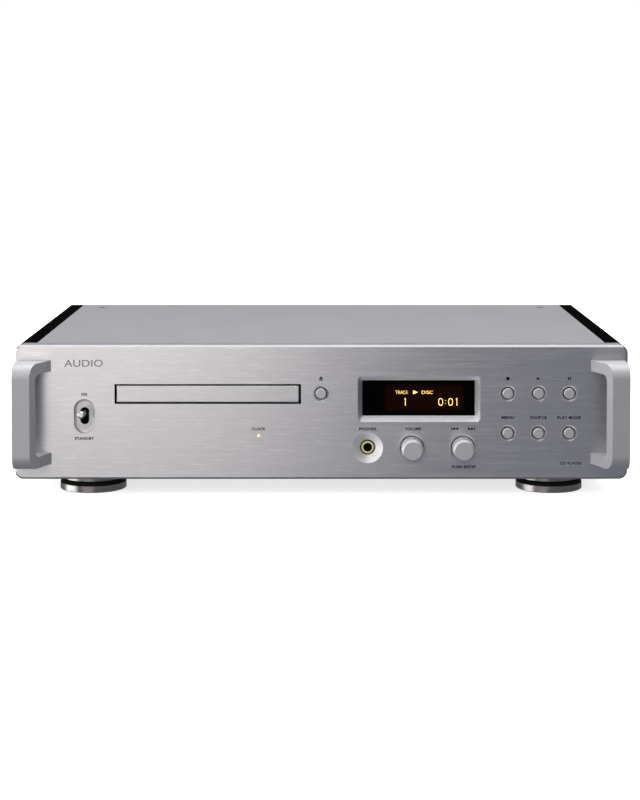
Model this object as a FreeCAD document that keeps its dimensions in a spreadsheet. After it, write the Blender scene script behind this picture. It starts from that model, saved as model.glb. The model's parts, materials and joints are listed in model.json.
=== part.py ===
"""Parametric model of a full-width hi-fi CD player with two front handles.

Millimetres, +Z up, the front face towards -Y. The origin is the middle of the
object's box at the surface that the feet stand on. Every size lives in the
"Dims" sheet, and each sub-part is bound to that sheet by expressions.
"""
import FreeCAD
import Part
import Sketcher
import math
import os
import re

Vector = FreeCAD.Vector
Rotation = FreeCAD.Rotation

# Driving dimensions: alias, value, meaning. Lengths in mm, angles in degrees.
DIMENSIONS = [
    # case
    ("panel_width", 444, "width of the front panel, the widest piece"),
    ("panel_thick", 14, "front panel thickness"),
    ("panel_front", -137, "Y of the front panel's face"),
    ("case_bottom", 13.3, "height of the case above the feet"),
    ("case_top", 111, "height of the top face"),
    ("panel_corner", 6, "front panel corner radius"),
    ("panel_edge", 1.5, "chamfer round the front panel's face"),
    ("case_half", 219, "half the width over the side panels"),
    ("side_thick", 11.4, "side panel thickness"),
    ("case_rear", 153, "Y of the rear panel's outer face"),
    ("sheet_thick", 1.5, "steel sheet thickness"),
    ("top_thick", 4, "top cover thickness"),
    ("top_edge", 0.35, "chamfer along the top cover's sides"),
    ("side_edge", 0.8, "chamfer along the side panels"),
    ("fit_gap", 0.15, "gap round loose-fitting plates"),
    ("rear_flange", 35, "depth of the flange under the top cover"),
    ("screw_x", 188.6, "top screws, distance from the middle"),
    ("screw_inset", 25, "top screws, distance from the rear edge"),
    ("screw_head", 3.65, "countersunk head radius"),
    ("screw_shank", 2, "screw shank radius"),
    ("screw_length", 7.5, "screw length"),
    ("screw_socket", 1.45, "corner radius of the screw's hexagon socket"),
    ("screw_socket_depth", 1.6, "depth of the screw's socket"),
    # handles
    ("handle_low", 24.8, "underside of the handle's lower arm"),
    ("handle_high", 100.1, "top of the handle's upper arm"),
    ("handle_reach", 30, "handle depth in front of the panel"),
    ("handle_bar", 8, "thickness of the handle's front bar"),
    ("handle_arm", 8, "height of the handle's arms"),
    ("handle_outer", 219.1, "outer side of the handle"),
    ("handle_foot_inner", 195.2, "inner side of the handle at the panel"),
    ("handle_face_inner", 206.5, "inner side of the handle at its front"),
    ("handle_corner", 10, "outer corner radius"),
    ("handle_crook", 5, "inner corner radius"),
    ("handle_thread", 2.5, "radius of the screws that hold the handles"),
    ("handle_screw_gap", 1, "free thread beyond the screws' tips"),
    # tray, its slot and its door
    ("tray_x", -81.9, "middle of the disc drive"),
    ("tray_z", 75.47, "middle height of the tray slot"),
    ("slot_width", 134.9, "tray slot width"),
    ("slot_height", 14.4, "tray slot height"),
    ("door_width", 132, "tray door width"),
    ("door_height", 11.9, "tray door height"),
    ("door_thick", 5, "tray door thickness"),
    ("door_edge", 0.6, "chamfer round the tray door's face"),
    ("tray_half", 64.5, "half the tray's width"),
    ("tray_low", 70.5, "underside of the tray"),
    ("tray_high", 80.5, "top of the tray"),
    ("tray_rear", 46, "Y of the tray's rear end"),
    ("disc_y", -62, "Y of the disc's centre"),
    ("disc_well", 60.6, "radius of the 120 mm disc's well"),
    ("small_well", 41, "radius of the 80 mm disc's well"),
    ("well_depth", 3, "depth of the disc well"),
    ("small_well_depth", 1.2, "extra depth of the small disc well"),
    ("tray_slot_half", 18, "half the width of the tray's open slot"),
    ("hollow_top", 72.9, "ceiling of the hollow under the tray"),
    ("hollow_inset", 7, "wall in front of the hollow under the tray"),
    # display
    ("display_x", 70.85, "middle of the display"),
    ("display_z", 71.75, "middle height of the display"),
    ("display_width", 88.7, "bevelled opening width at the face"),
    ("display_height", 33.2, "bevelled opening height at the face"),
    ("display_bevel", 6, "depth of the display's bevel"),
    ("display_corner", 2.6, "corner radius of the bevelled opening"),
    ("window_width", 81.7, "clear width at the window"),
    ("window_height", 25.8, "clear height at the window"),
    ("window_corner", 0.5, "corner radius at the window"),
    ("window_lip", 6.5, "how far the window laps behind the panel"),
    ("window_thick", 3, "window thickness"),
    ("display_gap", 0.5, "gap between the window and the display"),
    ("display_over", 1, "display beyond the clear height, each way"),
    ("display_tail", 6, "space between the display and the front boards' plane"),
    ("display_space", 6, "room round the display in the sub-panel"),
    # buttons
    ("button_x", 135.1, "first column of buttons"),
    ("button_pitch", 22.22, "distance between button columns"),
    ("button_high", 75.9, "height of the upper row"),
    ("button_low", 47, "height of the lower row"),
    ("button_radius", 3.85, "cap radius"),
    ("button_face", 3.3, "flat face radius of the cap"),
    ("button_out", 2, "cap height in front of the panel"),
    ("button_hole", 4.7, "button hole radius"),
    ("button_sink", 1.2, "chamfer round a button hole"),
    ("button_fit", 0.07, "clearance between cap and bushing"),
    ("button_flange", 4.5, "radius of the cap's retaining flange"),
    ("button_flange_gap", 0.1, "play between the flange and the panel's back"),
    ("button_flange_thick", 1, "thickness of the retaining flange"),
    ("button_flange_room", 1, "room round a button hole in the sub-panel"),
    ("button_stem", 2, "stem radius"),
    ("button_tail", 4.8, "stem's end behind the panel's back"),
    ("bushing_recess", 2.2, "bushing's front below the panel's face"),
    # knobs
    ("volume_x", 65.9, "middle of the volume knob"),
    ("skip_x", 102.8, "middle of the skip knob"),
    ("knob_z", 36.3, "height of both knobs"),
    ("knob_radius", 8.0, "knob radius"),
    ("knob_out", 14.6, "knob length in front of the panel"),
    ("knob_edge", 1.5, "chamfer at the knob's front edge"),
    ("knob_hole", 8.6, "knob hole radius"),
    ("knob_sink", 1.3, "chamfer round a knob hole"),
    ("knob_tail", 10, "knob length inside the panel"),
    ("shaft_radius", 3, "encoder shaft radius"),
    ("shaft_fit", 0.05, "clearance of a turning shaft"),
    ("shaft_tail", 8, "shaft's end behind the panel's back"),
    ("encoder_gap", 1, "gap between a knob and its encoder"),
    ("encoder_nose", 4.5, "encoder bushing radius"),
    ("encoder_half", 7, "half the encoder's square body"),
    ("encoder_front", 4, "encoder's body behind the panel's back"),
    ("encoder_back", 10.1, "encoder's rear face behind the panel's back"),
    ("rotor_radius", 5.5, "radius of the push encoder's rotor"),
    ("rotor_thick", 2, "thickness of the rotor"),
    ("rotor_front", 1.5, "rotor behind the encoder's front"),
    ("rotor_gap", 0.1, "gap round the rotor"),
    # headphone jack
    ("jack_x", 33.8, "middle of the headphone jack"),
    ("jack_z", 36.2, "height of the headphone jack"),
    ("jack_dish", 11.1, "radius of the dish round the jack"),
    ("jack_dish_depth", 3.7, "depth of that dish"),
    ("jack_nose", 5.55, "radius of the jack's black nose"),
    ("jack_sleeve_radius", 4.45, "outer radius of the metal sleeve"),
    ("jack_sleeve_out", 0.6, "sleeve in front of the nose"),
    ("jack_bore", 3.2, "bore radius for a 6.35 mm plug"),
    ("jack_depth", 38, "bore depth"),
    ("jack_wall", 2, "wall behind the bore"),
    ("jack_half_width", 8, "half the jack housing's width"),
    ("jack_half_height", 9, "half the jack housing's height"),
    # power switch
    ("toggle_x", -171.3, "middle of the power switch"),
    ("toggle_z", 59.3, "height of the power switch"),
    ("recess_width", 15, "width of the switch's recess"),
    ("recess_height", 25, "height of the switch's recess"),
    ("recess_depth", 2.8, "depth of the switch's recess"),
    ("recess_round", 2, "radius between the recess's wall and floor"),
    ("toggle_slot_width", 6.4, "width of the lever's slot"),
    ("toggle_slot_height", 12.4, "height of the lever's slot"),
    ("toggle_pivot", 32.8, "lever pivot behind the panel's face"),
    ("toggle_out", 20, "lever length in front of the panel's face"),
    ("toggle_tilt", 4.2, "lever tilt in the ON position"),
    ("toggle_neck", 2.1, "lever radius near its pivot"),
    ("toggle_tip", 2.5, "lever radius near its tip"),
    ("toggle_flare", 15, "length over which the lever widens"),
    ("toggle_head", 3, "length of the lever's straight tip"),
    ("toggle_round", 0.9, "chamfer at the lever's end"),
    ("toggle_tail", 3, "lever length behind its pivot"),
    ("toggle_trunnion", 1.5, "radius of the lever's trunnions"),
    ("trunnion_half", 6.5, "half the length over the trunnions"),
    ("trunnion_gap", 0.2, "gap at each end of the trunnions"),
    ("bracket_half", 8, "half the switch bracket's width"),
    ("bracket_wall", 4, "thickness of the bracket's cheeks"),
    ("bracket_behind", 12, "bracket behind the pivot"),
    ("bracket_space", 6, "the bracket's hollow behind the pivot"),
    ("bracket_over", 3, "the bracket's roof and floor"),
    # clock lamp
    ("led_x", -45.2, "middle of the clock lamp"),
    ("led_z", 45.2, "height of the clock lamp"),
    ("led_radius", 1, "clock lamp radius"),
    # feet
    ("foot_x", 169.6, "front feet, distance from the middle"),
    ("foot_front", -97, "Y of the front feet"),
    ("foot_rear", 112, "Y of the rear foot"),
    ("foot_disc_radius", 24.5, "radius of the foot's base disc"),
    ("foot_disc_height", 5.1, "height of the base disc"),
    ("foot_ring_radius", 24.2, "radius of the damping ring"),
    ("foot_ring_top", 7.7, "top of the damping ring"),
    ("foot_cup_radius", 22.7, "radius of the foot's upper cup"),
    ("foot_edge", 0.5, "chamfer on the foot's rims"),
    ("foot_stud", 3, "radius of the foot's stud"),
    ("foot_stud_top", 20, "top of the foot's stud"),
    # drive frame and the loading mechanism
    ("frame_half", 70, "half the drive frame's width"),
    ("frame_front", -119, "Y of the drive frame's front"),
    ("frame_rear", 62, "Y of the drive frame's rear"),
    ("frame_low", 40, "underside of the drive frame"),
    ("frame_high", 83.5, "top of the drive frame"),
    ("frame_base", 3, "thickness of the frame's floor"),
    ("frame_end", 3.5, "thickness of the frame's end walls"),
    ("frame_inside", 60, "half the frame's inner width"),
    ("slide_gap", 0.15, "running gap round the tray"),
    ("tray_side_gap", 0.2, "gap beside the tray"),
    ("post_radius", 5, "radius of the drive's support posts"),
    ("post_inset", 11, "support posts, from the frame's outer faces"),
    ("gear_module", 1.25, "module of the loading gears"),
    ("gear_teeth", 18, "teeth on each loading gear"),
    ("gear_backlash", 0.3, "play between meshing teeth"),
    ("rack_line", 52, "rack pitch line, from the drive's middle"),
    ("rack_back", 58, "rack's back, from the drive's middle"),
    ("rack_low", 68.6, "underside of the rack"),
    ("rack_front", -109, "Y of the rack's front end"),
    ("gear_y", -101, "Y of the loading gears"),
    ("gear_low", 68.6, "underside of the loading gears"),
    ("gear_high", 72.6, "top of the loading gears"),
    ("gear_bore", 1.55, "bore radius of the loading gears"),
    ("gear_post", 1.5, "radius of the gears' posts"),
    ("shoulder_width", 2, "width of the shoulder that a gear sits on"),
    ("rack_room", 4, "room beside the rack's teeth at the frame's front"),
    ("pulley_radius", 13, "belt pulley radius"),
    ("pulley_groove", 11.5, "belt pulley groove radius"),
    ("pulley_low", 60, "underside of the belt pulley"),
    ("pulley_high", 64, "top of the belt pulley"),
    ("pulley_rim", 1, "thickness of a pulley's rim"),
    ("groove_slope", 0.2, "height of a pulley groove's sloping sides"),
    ("neck_wall", 2.5, "wall of the neck between pulley and gear"),
    ("motor_x", -25, "loading motor, from the drive's middle"),
    ("motor_radius", 10.5, "loading motor radius"),
    ("motor_top", 57, "top of the loading motor"),
    ("motor_shaft", 1, "motor shaft radius"),
    ("motor_boss", 3, "radius of the loading motor's boss"),
    ("motor_boss_height", 1.5, "height of the loading motor's boss"),
    ("motor_gap", 0.1, "gap between a motor and what it turns"),
    ("motor_pulley_radius", 4.5, "motor pulley radius"),
    ("motor_pulley_groove", 3, "motor pulley groove radius"),
    ("belt_low", 61.25, "underside of the belt"),
    ("belt_thick", 1.2, "belt thickness"),
    ("belt_height", 1.5, "belt height"),
    ("belt_gap", 0.08, "gap between belt and groove"),
    # clamp
    ("bridge_half", 24, "half the clamp bridge's width along Y"),
    ("bridge_hole", 15.5, "hole in the clamp bridge"),
    ("clamp_radius", 15, "clamp radius under the bridge"),
    ("clamp_flange", 18, "clamp flange radius over the bridge"),
    ("clamp_low", 79.7, "underside of the clamp"),
    ("clamp_gap", 0.1, "gap between the clamp's flange and the bridge"),
    ("clamp_thick", 2, "thickness of the clamp's flange"),
    ("clamp_mouth", 7.7, "radius of the clamp's hollow over the hub"),
    ("clamp_hollow", 1.5, "depth of that hollow"),
    # traverse, which carries the spindle and the pickup
    ("traverse_low", 60, "underside of the traverse plate"),
    ("traverse_thick", 1.5, "thickness of the traverse plate"),
    ("traverse_half", 57, "half the traverse's width"),
    ("traverse_front", -80, "Y of the traverse's front edge"),
    ("traverse_rear", 34, "Y of the traverse's rear edge"),
    ("pivot_y", 28, "Y of the traverse's pivots"),
    ("pivot_z", 63.4, "height of the traverse's pivots"),
    ("pivot_radius", 2, "pivot radius"),
    ("pivot_fit", 0.05, "pivot clearance"),
    ("pivot_reach", 6, "pivot pin length inside the frame's wall"),
    ("boss_inner", 50, "inner end of the pivot bosses, from the middle"),
    ("boss_half", 4, "half the pivot bosses' width"),
    ("boss_over", 2.4, "pivot bosses above the pivots"),
    ("spindle_radius", 13, "spindle motor radius"),
    ("spindle_top", 69, "top of the spindle motor"),
    ("spindle_gap", 0.05, "clearance round the spindle's shaft"),
    ("spindle_shaft", 1, "spindle shaft radius"),
    ("turntable_radius", 15, "turntable radius"),
    ("turntable_seat", 78.3, "height of the disc's seat"),
    ("turntable_hub", 7.3, "radius of the centring hub"),
    ("turntable_top", 79.5, "top of the centring hub"),
    ("turntable_taper", 1, "how much the hub narrows to its top"),
    ("turntable_thick", 2.5, "thickness of the turntable"),
    ("turntable_boss", 5, "radius of the turntable's boss"),
    ("turntable_gap", 0.6, "gap between the boss and the motor"),
    ("spindle_foot", 0.3, "gap under the spindle's shaft"),
    ("rod_x", 24, "guide rods, from the drive's middle"),
    ("rod_z", 66, "height of the guide rods"),
    ("rod_radius", 1.5, "guide rod radius"),
    ("rod_fit", 0.04, "guide rod clearance"),
    ("rod_front", -60, "Y of the guide rods' front ends"),
    ("rod_rear", 20, "Y of the guide rods' rear ends"),
    ("rod_support", 4, "thickness of the guide rods' supports"),
    ("rod_cheek", 3, "half the width of those supports"),
    ("rod_over", 2.5, "supports above the rods' centres"),
    ("pickup_front", -48.5, "Y of the pickup's front face at rest"),
    ("pickup_rear", -29, "Y of the pickup's rear face at rest"),
    ("pickup_low", 62.5, "underside of the pickup"),
    ("pickup_high", 69.3, "top of the pickup"),
    ("pickup_half", 28, "half the pickup's width"),
    ("lens_y", -39, "Y of the lens at rest"),
    ("lens_radius", 4, "lens holder radius"),
    ("lens_top", 73, "top of the lens holder"),
    ("sled_module", 0.8, "module of the sled gear"),
    ("sled_teeth", 20, "teeth on the sled gear"),
    ("sled_line", 36, "sled rack pitch line, from the drive's middle"),
    ("sled_rack_rear", -3, "Y of the sled rack's rear end at rest"),
    ("sled_rack_gap", 0.5, "gap between the sled rack's back and the pickup"),
    ("sled_shaft_room", 0.5, "room round the sled motor's shaft"),
    ("sled_low", 63, "underside of the sled gear and rack"),
    ("sled_high", 65.5, "top of the sled gear and rack"),
    ("sled_gear_y", -9, "Y of the sled gear"),
    ("sled_motor_radius", 9, "sled motor radius"),
    ("sled_motor_low", 51, "underside of the sled motor"),
    # power supply and boards
    ("transformer_x", 147, "middle of the transformer"),
    ("transformer_y", 60, "Y of the transformer"),
    ("transformer_radius", 52, "transformer radius"),
    ("transformer_hole", 16, "transformer hole radius"),
    ("transformer_low", 18, "underside of the winding"),
    ("transformer_high", 62, "top of the winding"),
    ("winding_edge", 4.5, "chamfer round the winding"),
    ("pad_radius", 46, "radius of the rubber pad"),
    ("plate_radius", 40, "radius of the plate on the winding"),
    ("plate_thick", 2, "thickness of that plate"),
    ("bolt_radius", 4, "radius of the transformer's bolt"),
    ("bolt_top", 68, "top of the transformer's bolt"),
    ("board_low", 25, "underside of the flat boards"),
    ("board_thick", 1.6, "board thickness"),
    ("standoff_radius", 3, "standoff radius"),
    ("standoff_inset", 5, "standoffs, from a board's edges"),
    ("power_left", 4, "X of the power board's left edge"),
    ("power_right", 84, "X of the power board's right edge"),
    ("power_front", -92, "Y of the power board's front edge"),
    ("power_rear", 58, "Y of the power board's rear edge"),
    ("capacitor_radius", 12, "capacitor radius"),
    ("capacitor_top", 66, "top of the capacitors"),
    ("capacitor_x", 24, "X of the first capacitor"),
    ("capacitor_y", -70, "Y of the first capacitor"),
    ("capacitor_pitch", 34, "distance between capacitors"),
    ("sink_inset", 10, "heat sink, from the power board's sides"),
    ("sink_front", 32, "Y of the heat sink's front"),
    ("sink_thick", 8, "thickness of the heat sink"),
    ("audio_left", -200, "X of the audio board's left edge"),
    ("audio_right", 82, "X of the audio board's right edge"),
    ("audio_front", 70, "Y of the audio board's front edge"),
    ("audio_rear", 128, "Y of the audio board's rear edge"),
    ("chip_x", -180, "X of the first chip"),
    ("chip_y", 86, "Y of the chips' front edges"),
    ("chip_size", 14, "length and width of a chip"),
    ("chip_thick", 3, "thickness of a chip"),
    ("chip_pitch", 40, "distance between chips"),
    ("coupling_x", -176, "X of the first coupling capacitor"),
    ("coupling_y", 115, "Y of the coupling capacitors"),
    ("coupling_radius", 5, "coupling capacitor radius"),
    ("coupling_top", 43, "top of the coupling capacitors"),
    ("coupling_pitch", 22, "distance between coupling capacitors"),
    ("front_board", -113, "Y of the front boards' front faces"),
    ("switch_depth", 3.5, "depth of a push switch"),
    ("switch_half", 3, "half a push switch's width"),
    # rear sockets
    ("socket_z", 62, "height of the row of sockets"),
    ("socket_out", 14, "length of the longest sockets behind the case"),
    ("socket_inside", 20, "socket length inside the case"),
    ("xlr_radius", 11.8, "balanced socket radius"),
    ("xlr_bore", 8.5, "balanced socket's bore radius"),
    ("xlr_out", 2, "balanced socket behind the case"),
    ("rca_radius", 4.15, "phono socket radius"),
    ("clock_radius", 4.8, "clock socket radius"),
    ("pin_bore", 1.7, "bore radius of the phono and clock sockets"),
    ("bore_depth", 12, "bore depth in front of the case's rear"),
    ("square_out", 1, "square sockets behind the case"),
    ("square_wall", 2, "wall of the square sockets"),
    ("square_depth", 10, "depth of the square sockets"),
    ("square_half", 6, "half the height of the square sockets"),
    ("optical_half", 7, "half the optical socket's width"),
    ("usb_half", 6.5, "half the data socket's width"),
    ("inlet_x", 160, "middle of the mains inlet"),
    ("inlet_z", 48, "height of the mains inlet"),
    ("inlet_half_width", 13.8, "half the inlet's width"),
    ("inlet_half_height", 10, "half the inlet's height"),
    ("inlet_rim", 2, "width and thickness of the inlet's rim"),
    ("inlet_wall", 1.8, "wall of the inlet's shell"),
    ("inlet_depth", 26, "length of the inlet inside the case"),
    ("inlet_floor", 18, "depth of the inlet's mouth"),
    ("pin_pitch", 7, "inlet's outer pins, from its middle"),
    ("pin_drop", -1.5, "height of the outer pins, from the inlet's middle"),
    ("pin_rise", 2.5, "height of the earth pin, from the inlet's middle"),
    ("pin_half_width", 1, "half a pin's width"),
    ("pin_half_height", 2, "half a pin's height"),
    ("pin_recess", 3, "pins' tips in front of the case's rear"),
]

PRESSURE_ANGLE = math.radians(20)
TOOTH_ADDENDUM = 0.9
TOOTH_DEDENDUM = 1.2
FLANK_STEPS = 5
ALONG_X = Rotation(Vector(0, 1, 0), 90)
ALONG_Y = Rotation(Vector(1, 0, 0), -90)
ALONG_Z = Rotation()
TOWARDS_FRONT = Rotation(Vector(1, 0, 0), 90)
# A cutting tool runs 1 mm past each face that it cuts through.

doc = FreeCAD.newDocument("cd_player")
sub_parts = []


def make_sheet():
    """The spreadsheet of driving dimensions."""
    sheet = doc.addObject("Spreadsheet::Sheet", "Dims")
    for row, (alias, value, meaning) in enumerate(DIMENSIONS, start=1):
        sheet.set(f"A{row}", meaning)
        sheet.set(f"B{row}", str(value))
        sheet.setAlias(f"B{row}", alias)
    doc.recompute()
    return sheet


sheet = make_sheet()
ALIASES = {alias for alias, _, _ in DIMENSIONS}


def terms(expression):
    """An expression with every alias pointed at the sheet."""
    def point(match):
        word = match.group(0)
        return f"Dims.{word}" if word in ALIASES else word
    return re.sub(r"[a-z][a-z_]*", point, str(expression))


def size(alias):
    """The value of one driving dimension."""
    return float(sheet.get(alias))


def number(expression):
    """The present value of an expression of driving dimensions."""
    return float(sheet.evalExpression(terms(expression)))


def bind(item, **expressions):
    """Bind properties to the sheet; a double underscore stands for a dot."""
    for path, expression in expressions.items():
        item.setExpression(path.replace("__", "."), terms(expression))


def place(item, x, y, z, rotation=ALONG_Z):
    """Place an object by expressions."""
    item.Placement = FreeCAD.Placement(Vector(0, 0, 0), rotation)
    bind(item, Placement__Base__x=x, Placement__Base__y=y, Placement__Base__z=z)
    return item


def keep(item, label):
    """Mark an object as a finished sub-part, whose label names its file."""
    item.Label = label
    sub_parts.append(item)
    return item


# ---- Part primitives and booleans -------------------------------------------

def block(name, x, y, z):
    """A box between a low and a high expression along each axis."""
    item = doc.addObject("Part::Box", name)
    length, width, height = (f"({high})-({low})" for low, high in (x, y, z))
    bind(item, Length=length, Width=width, Height=height)
    return place(item, x[0], y[0], z[0])


def rod(name, radius, low, high, x="0", y="0", z="0", along=ALONG_Z):
    """A cylinder between two expressions along one axis."""
    item = doc.addObject("Part::Cylinder", name)
    bind(item, Radius=radius, Height=f"({high})-({low})")
    if along is ALONG_X:
        return place(item, low, y, z, along)
    if along is ALONG_Y:
        return place(item, x, low, z, along)
    return place(item, x, y, low, along)


def fuse(name, *pieces):
    """Several pieces joined into one."""
    item = doc.addObject("Part::MultiFuse", name)
    item.Shapes = list(pieces)
    return item


def cut(name, base, *tools):
    """A piece with one or more tools cut away."""
    item = doc.addObject("Part::Cut", name)
    item.Base = base
    item.Tool = tools[0] if len(tools) == 1 else fuse(f"{name}_tools", *tools)
    return item


def group(name, pieces):
    """Separate solids that share one sub-part."""
    item = doc.addObject("Part::Compound", name)
    item.Links = list(pieces)
    return item


def tube(name, outer, inner, low, high, x="0", y="0", z="0", along=ALONG_Z):
    """A cylinder with a bore right through."""
    solid = rod(f"{name}_solid", outer, low, high, x, y, z, along)
    bore = rod(f"{name}_bore", inner, f"{low}-1", f"{high}+1", x, y, z, along)
    return cut(name, solid, bore)


# ---- PartDesign bodies and sketches ------------------------------------------

def new_body(name):
    return doc.addObject("PartDesign::Body", name)


def attach(body, item, plane, offset):
    """Attach an object to one of its body's origin planes, moved along the normal."""
    support = next(feature for feature in body.Origin.OriginFeatures if feature.Role == plane)
    item.AttachmentSupport = [(support, "")]
    item.MapMode = "FlatFace"
    bind(item, AttachmentOffset__Base__z=offset)


def new_sketch(body, name, plane, offset="0"):
    """A sketch on one of its body's origin planes."""
    sketch = body.newObject("Sketcher::SketchObject", name)
    attach(body, sketch, plane, offset)
    return sketch


def hold(sketch, constraint, expression):
    """Add a dimension to a sketch and bind it to the sheet."""
    index = sketch.addConstraint(constraint)
    sketch.renameConstraint(index, f"size_{index}")
    sketch.setExpression(f"Constraints.size_{index}", terms(expression))


def add_outline(sketch, points):
    """A closed outline of straight lines through points given by expressions."""
    values = [Vector(number(x), number(y), 0) for x, y in points]
    first = sketch.GeometryCount
    count = len(points)
    for index in range(count):
        line = Part.LineSegment(values[index], values[(index + 1) % count])
        sketch.addGeometry(line, False)
    for index in range(count):
        here = first + index
        there = first + (index + 1) % count
        sketch.addConstraint(Sketcher.Constraint("Coincident", here, 2, there, 1))
    for index, (x, y) in enumerate(points):
        here = first + index
        across = Sketcher.Constraint("DistanceX", -1, 1, here, 1, values[index].x)
        along = Sketcher.Constraint("DistanceY", -1, 1, here, 1, values[index].y)
        hold(sketch, across, x)
        hold(sketch, along, y)


def add_rectangle(sketch, x, y, width, height):
    """A rectangle by its middle and its size."""
    left, right = f"({x})-({width})/2", f"({x})+({width})/2"
    low, high = f"({y})-({height})/2", f"({y})+({height})/2"
    add_outline(sketch, [(left, low), (right, low), (right, high), (left, high)])


def add_circle(sketch, x, y, radius):
    """A circle by its middle and its radius."""
    centre = Vector(number(x), number(y), 0)
    index = sketch.addGeometry(Part.Circle(centre, Vector(0, 0, 1), number(radius)), False)
    hold(sketch, Sketcher.Constraint("DistanceX", -1, 1, index, 3, centre.x), x)
    hold(sketch, Sketcher.Constraint("DistanceY", -1, 1, index, 3, centre.y), y)
    hold(sketch, Sketcher.Constraint("Radius", index, number(radius)), radius)


def add_rounded(sketch, x, y, width, height, corner):
    """A rectangle with round corners, by its middle, its size and its corner radius."""
    radius = number(corner)
    first = sketch.GeometryCount
    centres = []
    for index, (right, up) in enumerate(((1, 1), (-1, 1), (-1, -1), (1, -1))):
        at_x = f"{x}+({right})*(({width})/2-({corner}))"
        at_y = f"{y}+({up})*(({height})/2-({corner}))"
        centre = Vector(number(at_x), number(at_y), 0)
        circle = Part.Circle(centre, Vector(0, 0, 1), radius)
        start = index * math.pi / 2
        sketch.addGeometry(Part.ArcOfCircle(circle, start, start + math.pi / 2), False)
        centres.append((at_x, at_y, centre))
    for index in range(4):
        start = sketch.getPoint(first + index, 2)
        end = sketch.getPoint(first + (index + 1) % 4, 1)
        line = sketch.addGeometry(Part.LineSegment(start, end), False)
        sketch.addConstraint(Sketcher.Constraint("Tangent", first + index, 2, line, 1))
        sketch.addConstraint(Sketcher.Constraint("Tangent", line, 2, first + (index + 1) % 4, 1))
    for index, (at_x, at_y, centre) in enumerate(centres, start=first):
        hold(sketch, Sketcher.Constraint("Radius", index, radius), corner)
        hold(sketch, Sketcher.Constraint("DistanceX", -1, 1, index, 3, centre.x), at_x)
        hold(sketch, Sketcher.Constraint("DistanceY", -1, 1, index, 3, centre.y), at_y)


def pad(body, name, sketch, length):
    item = body.newObject("PartDesign::Pad", name)
    item.Profile = sketch
    bind(item, Length=length)
    return item


def take_away(body, kind, name, settings):
    """Add a cutting feature to the body, and check that something was cut away."""
    doc.recompute()
    before = body.Shape.Volume
    item = body.newObject(f"PartDesign::{kind}", name)
    settings(item)
    doc.recompute()
    if body.Shape.Volume >= before - 1e-6:
        raise RuntimeError(f"{name} cuts nothing")


def pocket(body, name, sketch, depth=None, upwards=False):
    """Cut a sketch's outline into the body, right through it or to a depth."""
    def settings(item):
        item.Profile = sketch
        item.Reversed = upwards
        if depth is None:
            item.Type = "ThroughAll"
            item.Midplane = True
        else:
            bind(item, Length=depth)
    take_away(body, "Pocket", name, settings)


def funnel(body, name, outer, inner):
    """Cut away everything between two outlines on parallel planes."""
    def settings(item):
        item.Profile = outer
        item.Sections = [inner]
        item.Ruled = True
    take_away(body, "SubtractiveLoft", name, settings)


def edges_where(shape, test):
    """The names of the edges that pass a test."""
    return [f"Edge{index}" for index, edge in enumerate(shape.Edges, start=1) if test(edge)]


def dress(body, kind, name, test, amount):
    """A Fillet or a Chamfer on the edges that pass a test."""
    doc.recompute()
    base = body.Tip
    item = body.newObject(f"PartDesign::{kind}", name)
    item.Base = (base, edges_where(base.Shape, test))
    if kind == "Fillet":
        bind(item, Radius=amount)
    else:
        bind(item, Size=amount)
    return item


def is_straight_along(edge, axis):
    """Whether an edge is a straight line along X, Y or Z."""
    box = edge.BoundBox
    lengths = {"X": box.XLength, "Y": box.YLength, "Z": box.ZLength}
    others = [lengths[key] for key in lengths if key != axis]
    return lengths[axis] > 1e-3 and max(others) < 1e-4


def turned(name, profile, x="0", y="0", z="0", facing=ALONG_Z):
    """A body of revolution: profile points are radius and height along its axis."""
    body = new_body(name)
    sketch = new_sketch(body, f"{name}_profile", "XZ_Plane")
    add_outline(sketch, profile)
    spin = body.newObject("PartDesign::Revolution", f"{name}_spin")
    spin.Profile = sketch
    spin.ReferenceAxis = (sketch, ["V_Axis"])
    spin.Angle = 360
    return place(body, x, y, z, facing)


# ---- gears --------------------------------------------------------------------

def involute(angle):
    return math.tan(angle) - angle


def gear_flank(radius, pitch_radius, half_tooth):
    """Half the angle of a tooth at a radius."""
    base_radius = pitch_radius * math.cos(PRESSURE_ANGLE)
    angle = math.acos(min(1.0, base_radius / radius))
    return half_tooth + involute(PRESSURE_ANGLE) - involute(angle)


def gear_face(teeth, module, backlash, first_tooth):
    """The flat outline of a spur gear with one tooth at the angle first_tooth."""
    pitch_radius = module * teeth / 2
    tip = pitch_radius + TOOTH_ADDENDUM * module
    root = pitch_radius - TOOTH_DEDENDUM * module
    start = max(root, pitch_radius * math.cos(PRESSURE_ANGLE))
    half_tooth = math.pi / (2 * teeth) - backlash / (2 * pitch_radius)
    radii = [start + (tip - start) * step / (FLANK_STEPS - 1) for step in range(FLANK_STEPS)]
    flank = [(radius, gear_flank(radius, pitch_radius, half_tooth)) for radius in radii]
    if root < start:
        flank.insert(0, (root, flank[0][1]))
    points = []
    for tooth in range(teeth):
        middle = first_tooth + 2 * math.pi * tooth / teeth
        for radius, angle in flank:
            points.append((radius, middle - angle))
        for radius, angle in reversed(flank):
            points.append((radius, middle + angle))
    corners = [Vector(math.cos(angle), math.sin(angle), 0) * radius for radius, angle in points]
    return Part.Face(Part.makePolygon(corners + corners[:1]))


def gear(name, teeth, module, low, high, bore, first_tooth=0.0):
    """A spur gear about the Z axis, as a feature shaped by the gear formulas."""
    face = gear_face(int(size(teeth)), size(module), size("gear_backlash"), first_tooth)
    item = doc.addObject("Part::Feature", f"{name}_wheel")
    item.Shape = face.extrude(Vector(0, 0, size(high) - size(low)))
    place(item, "0", "0", low)
    return cut(name, item, rod(f"{name}_bore", bore, f"{low}-1", f"{high}+1"))


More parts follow.
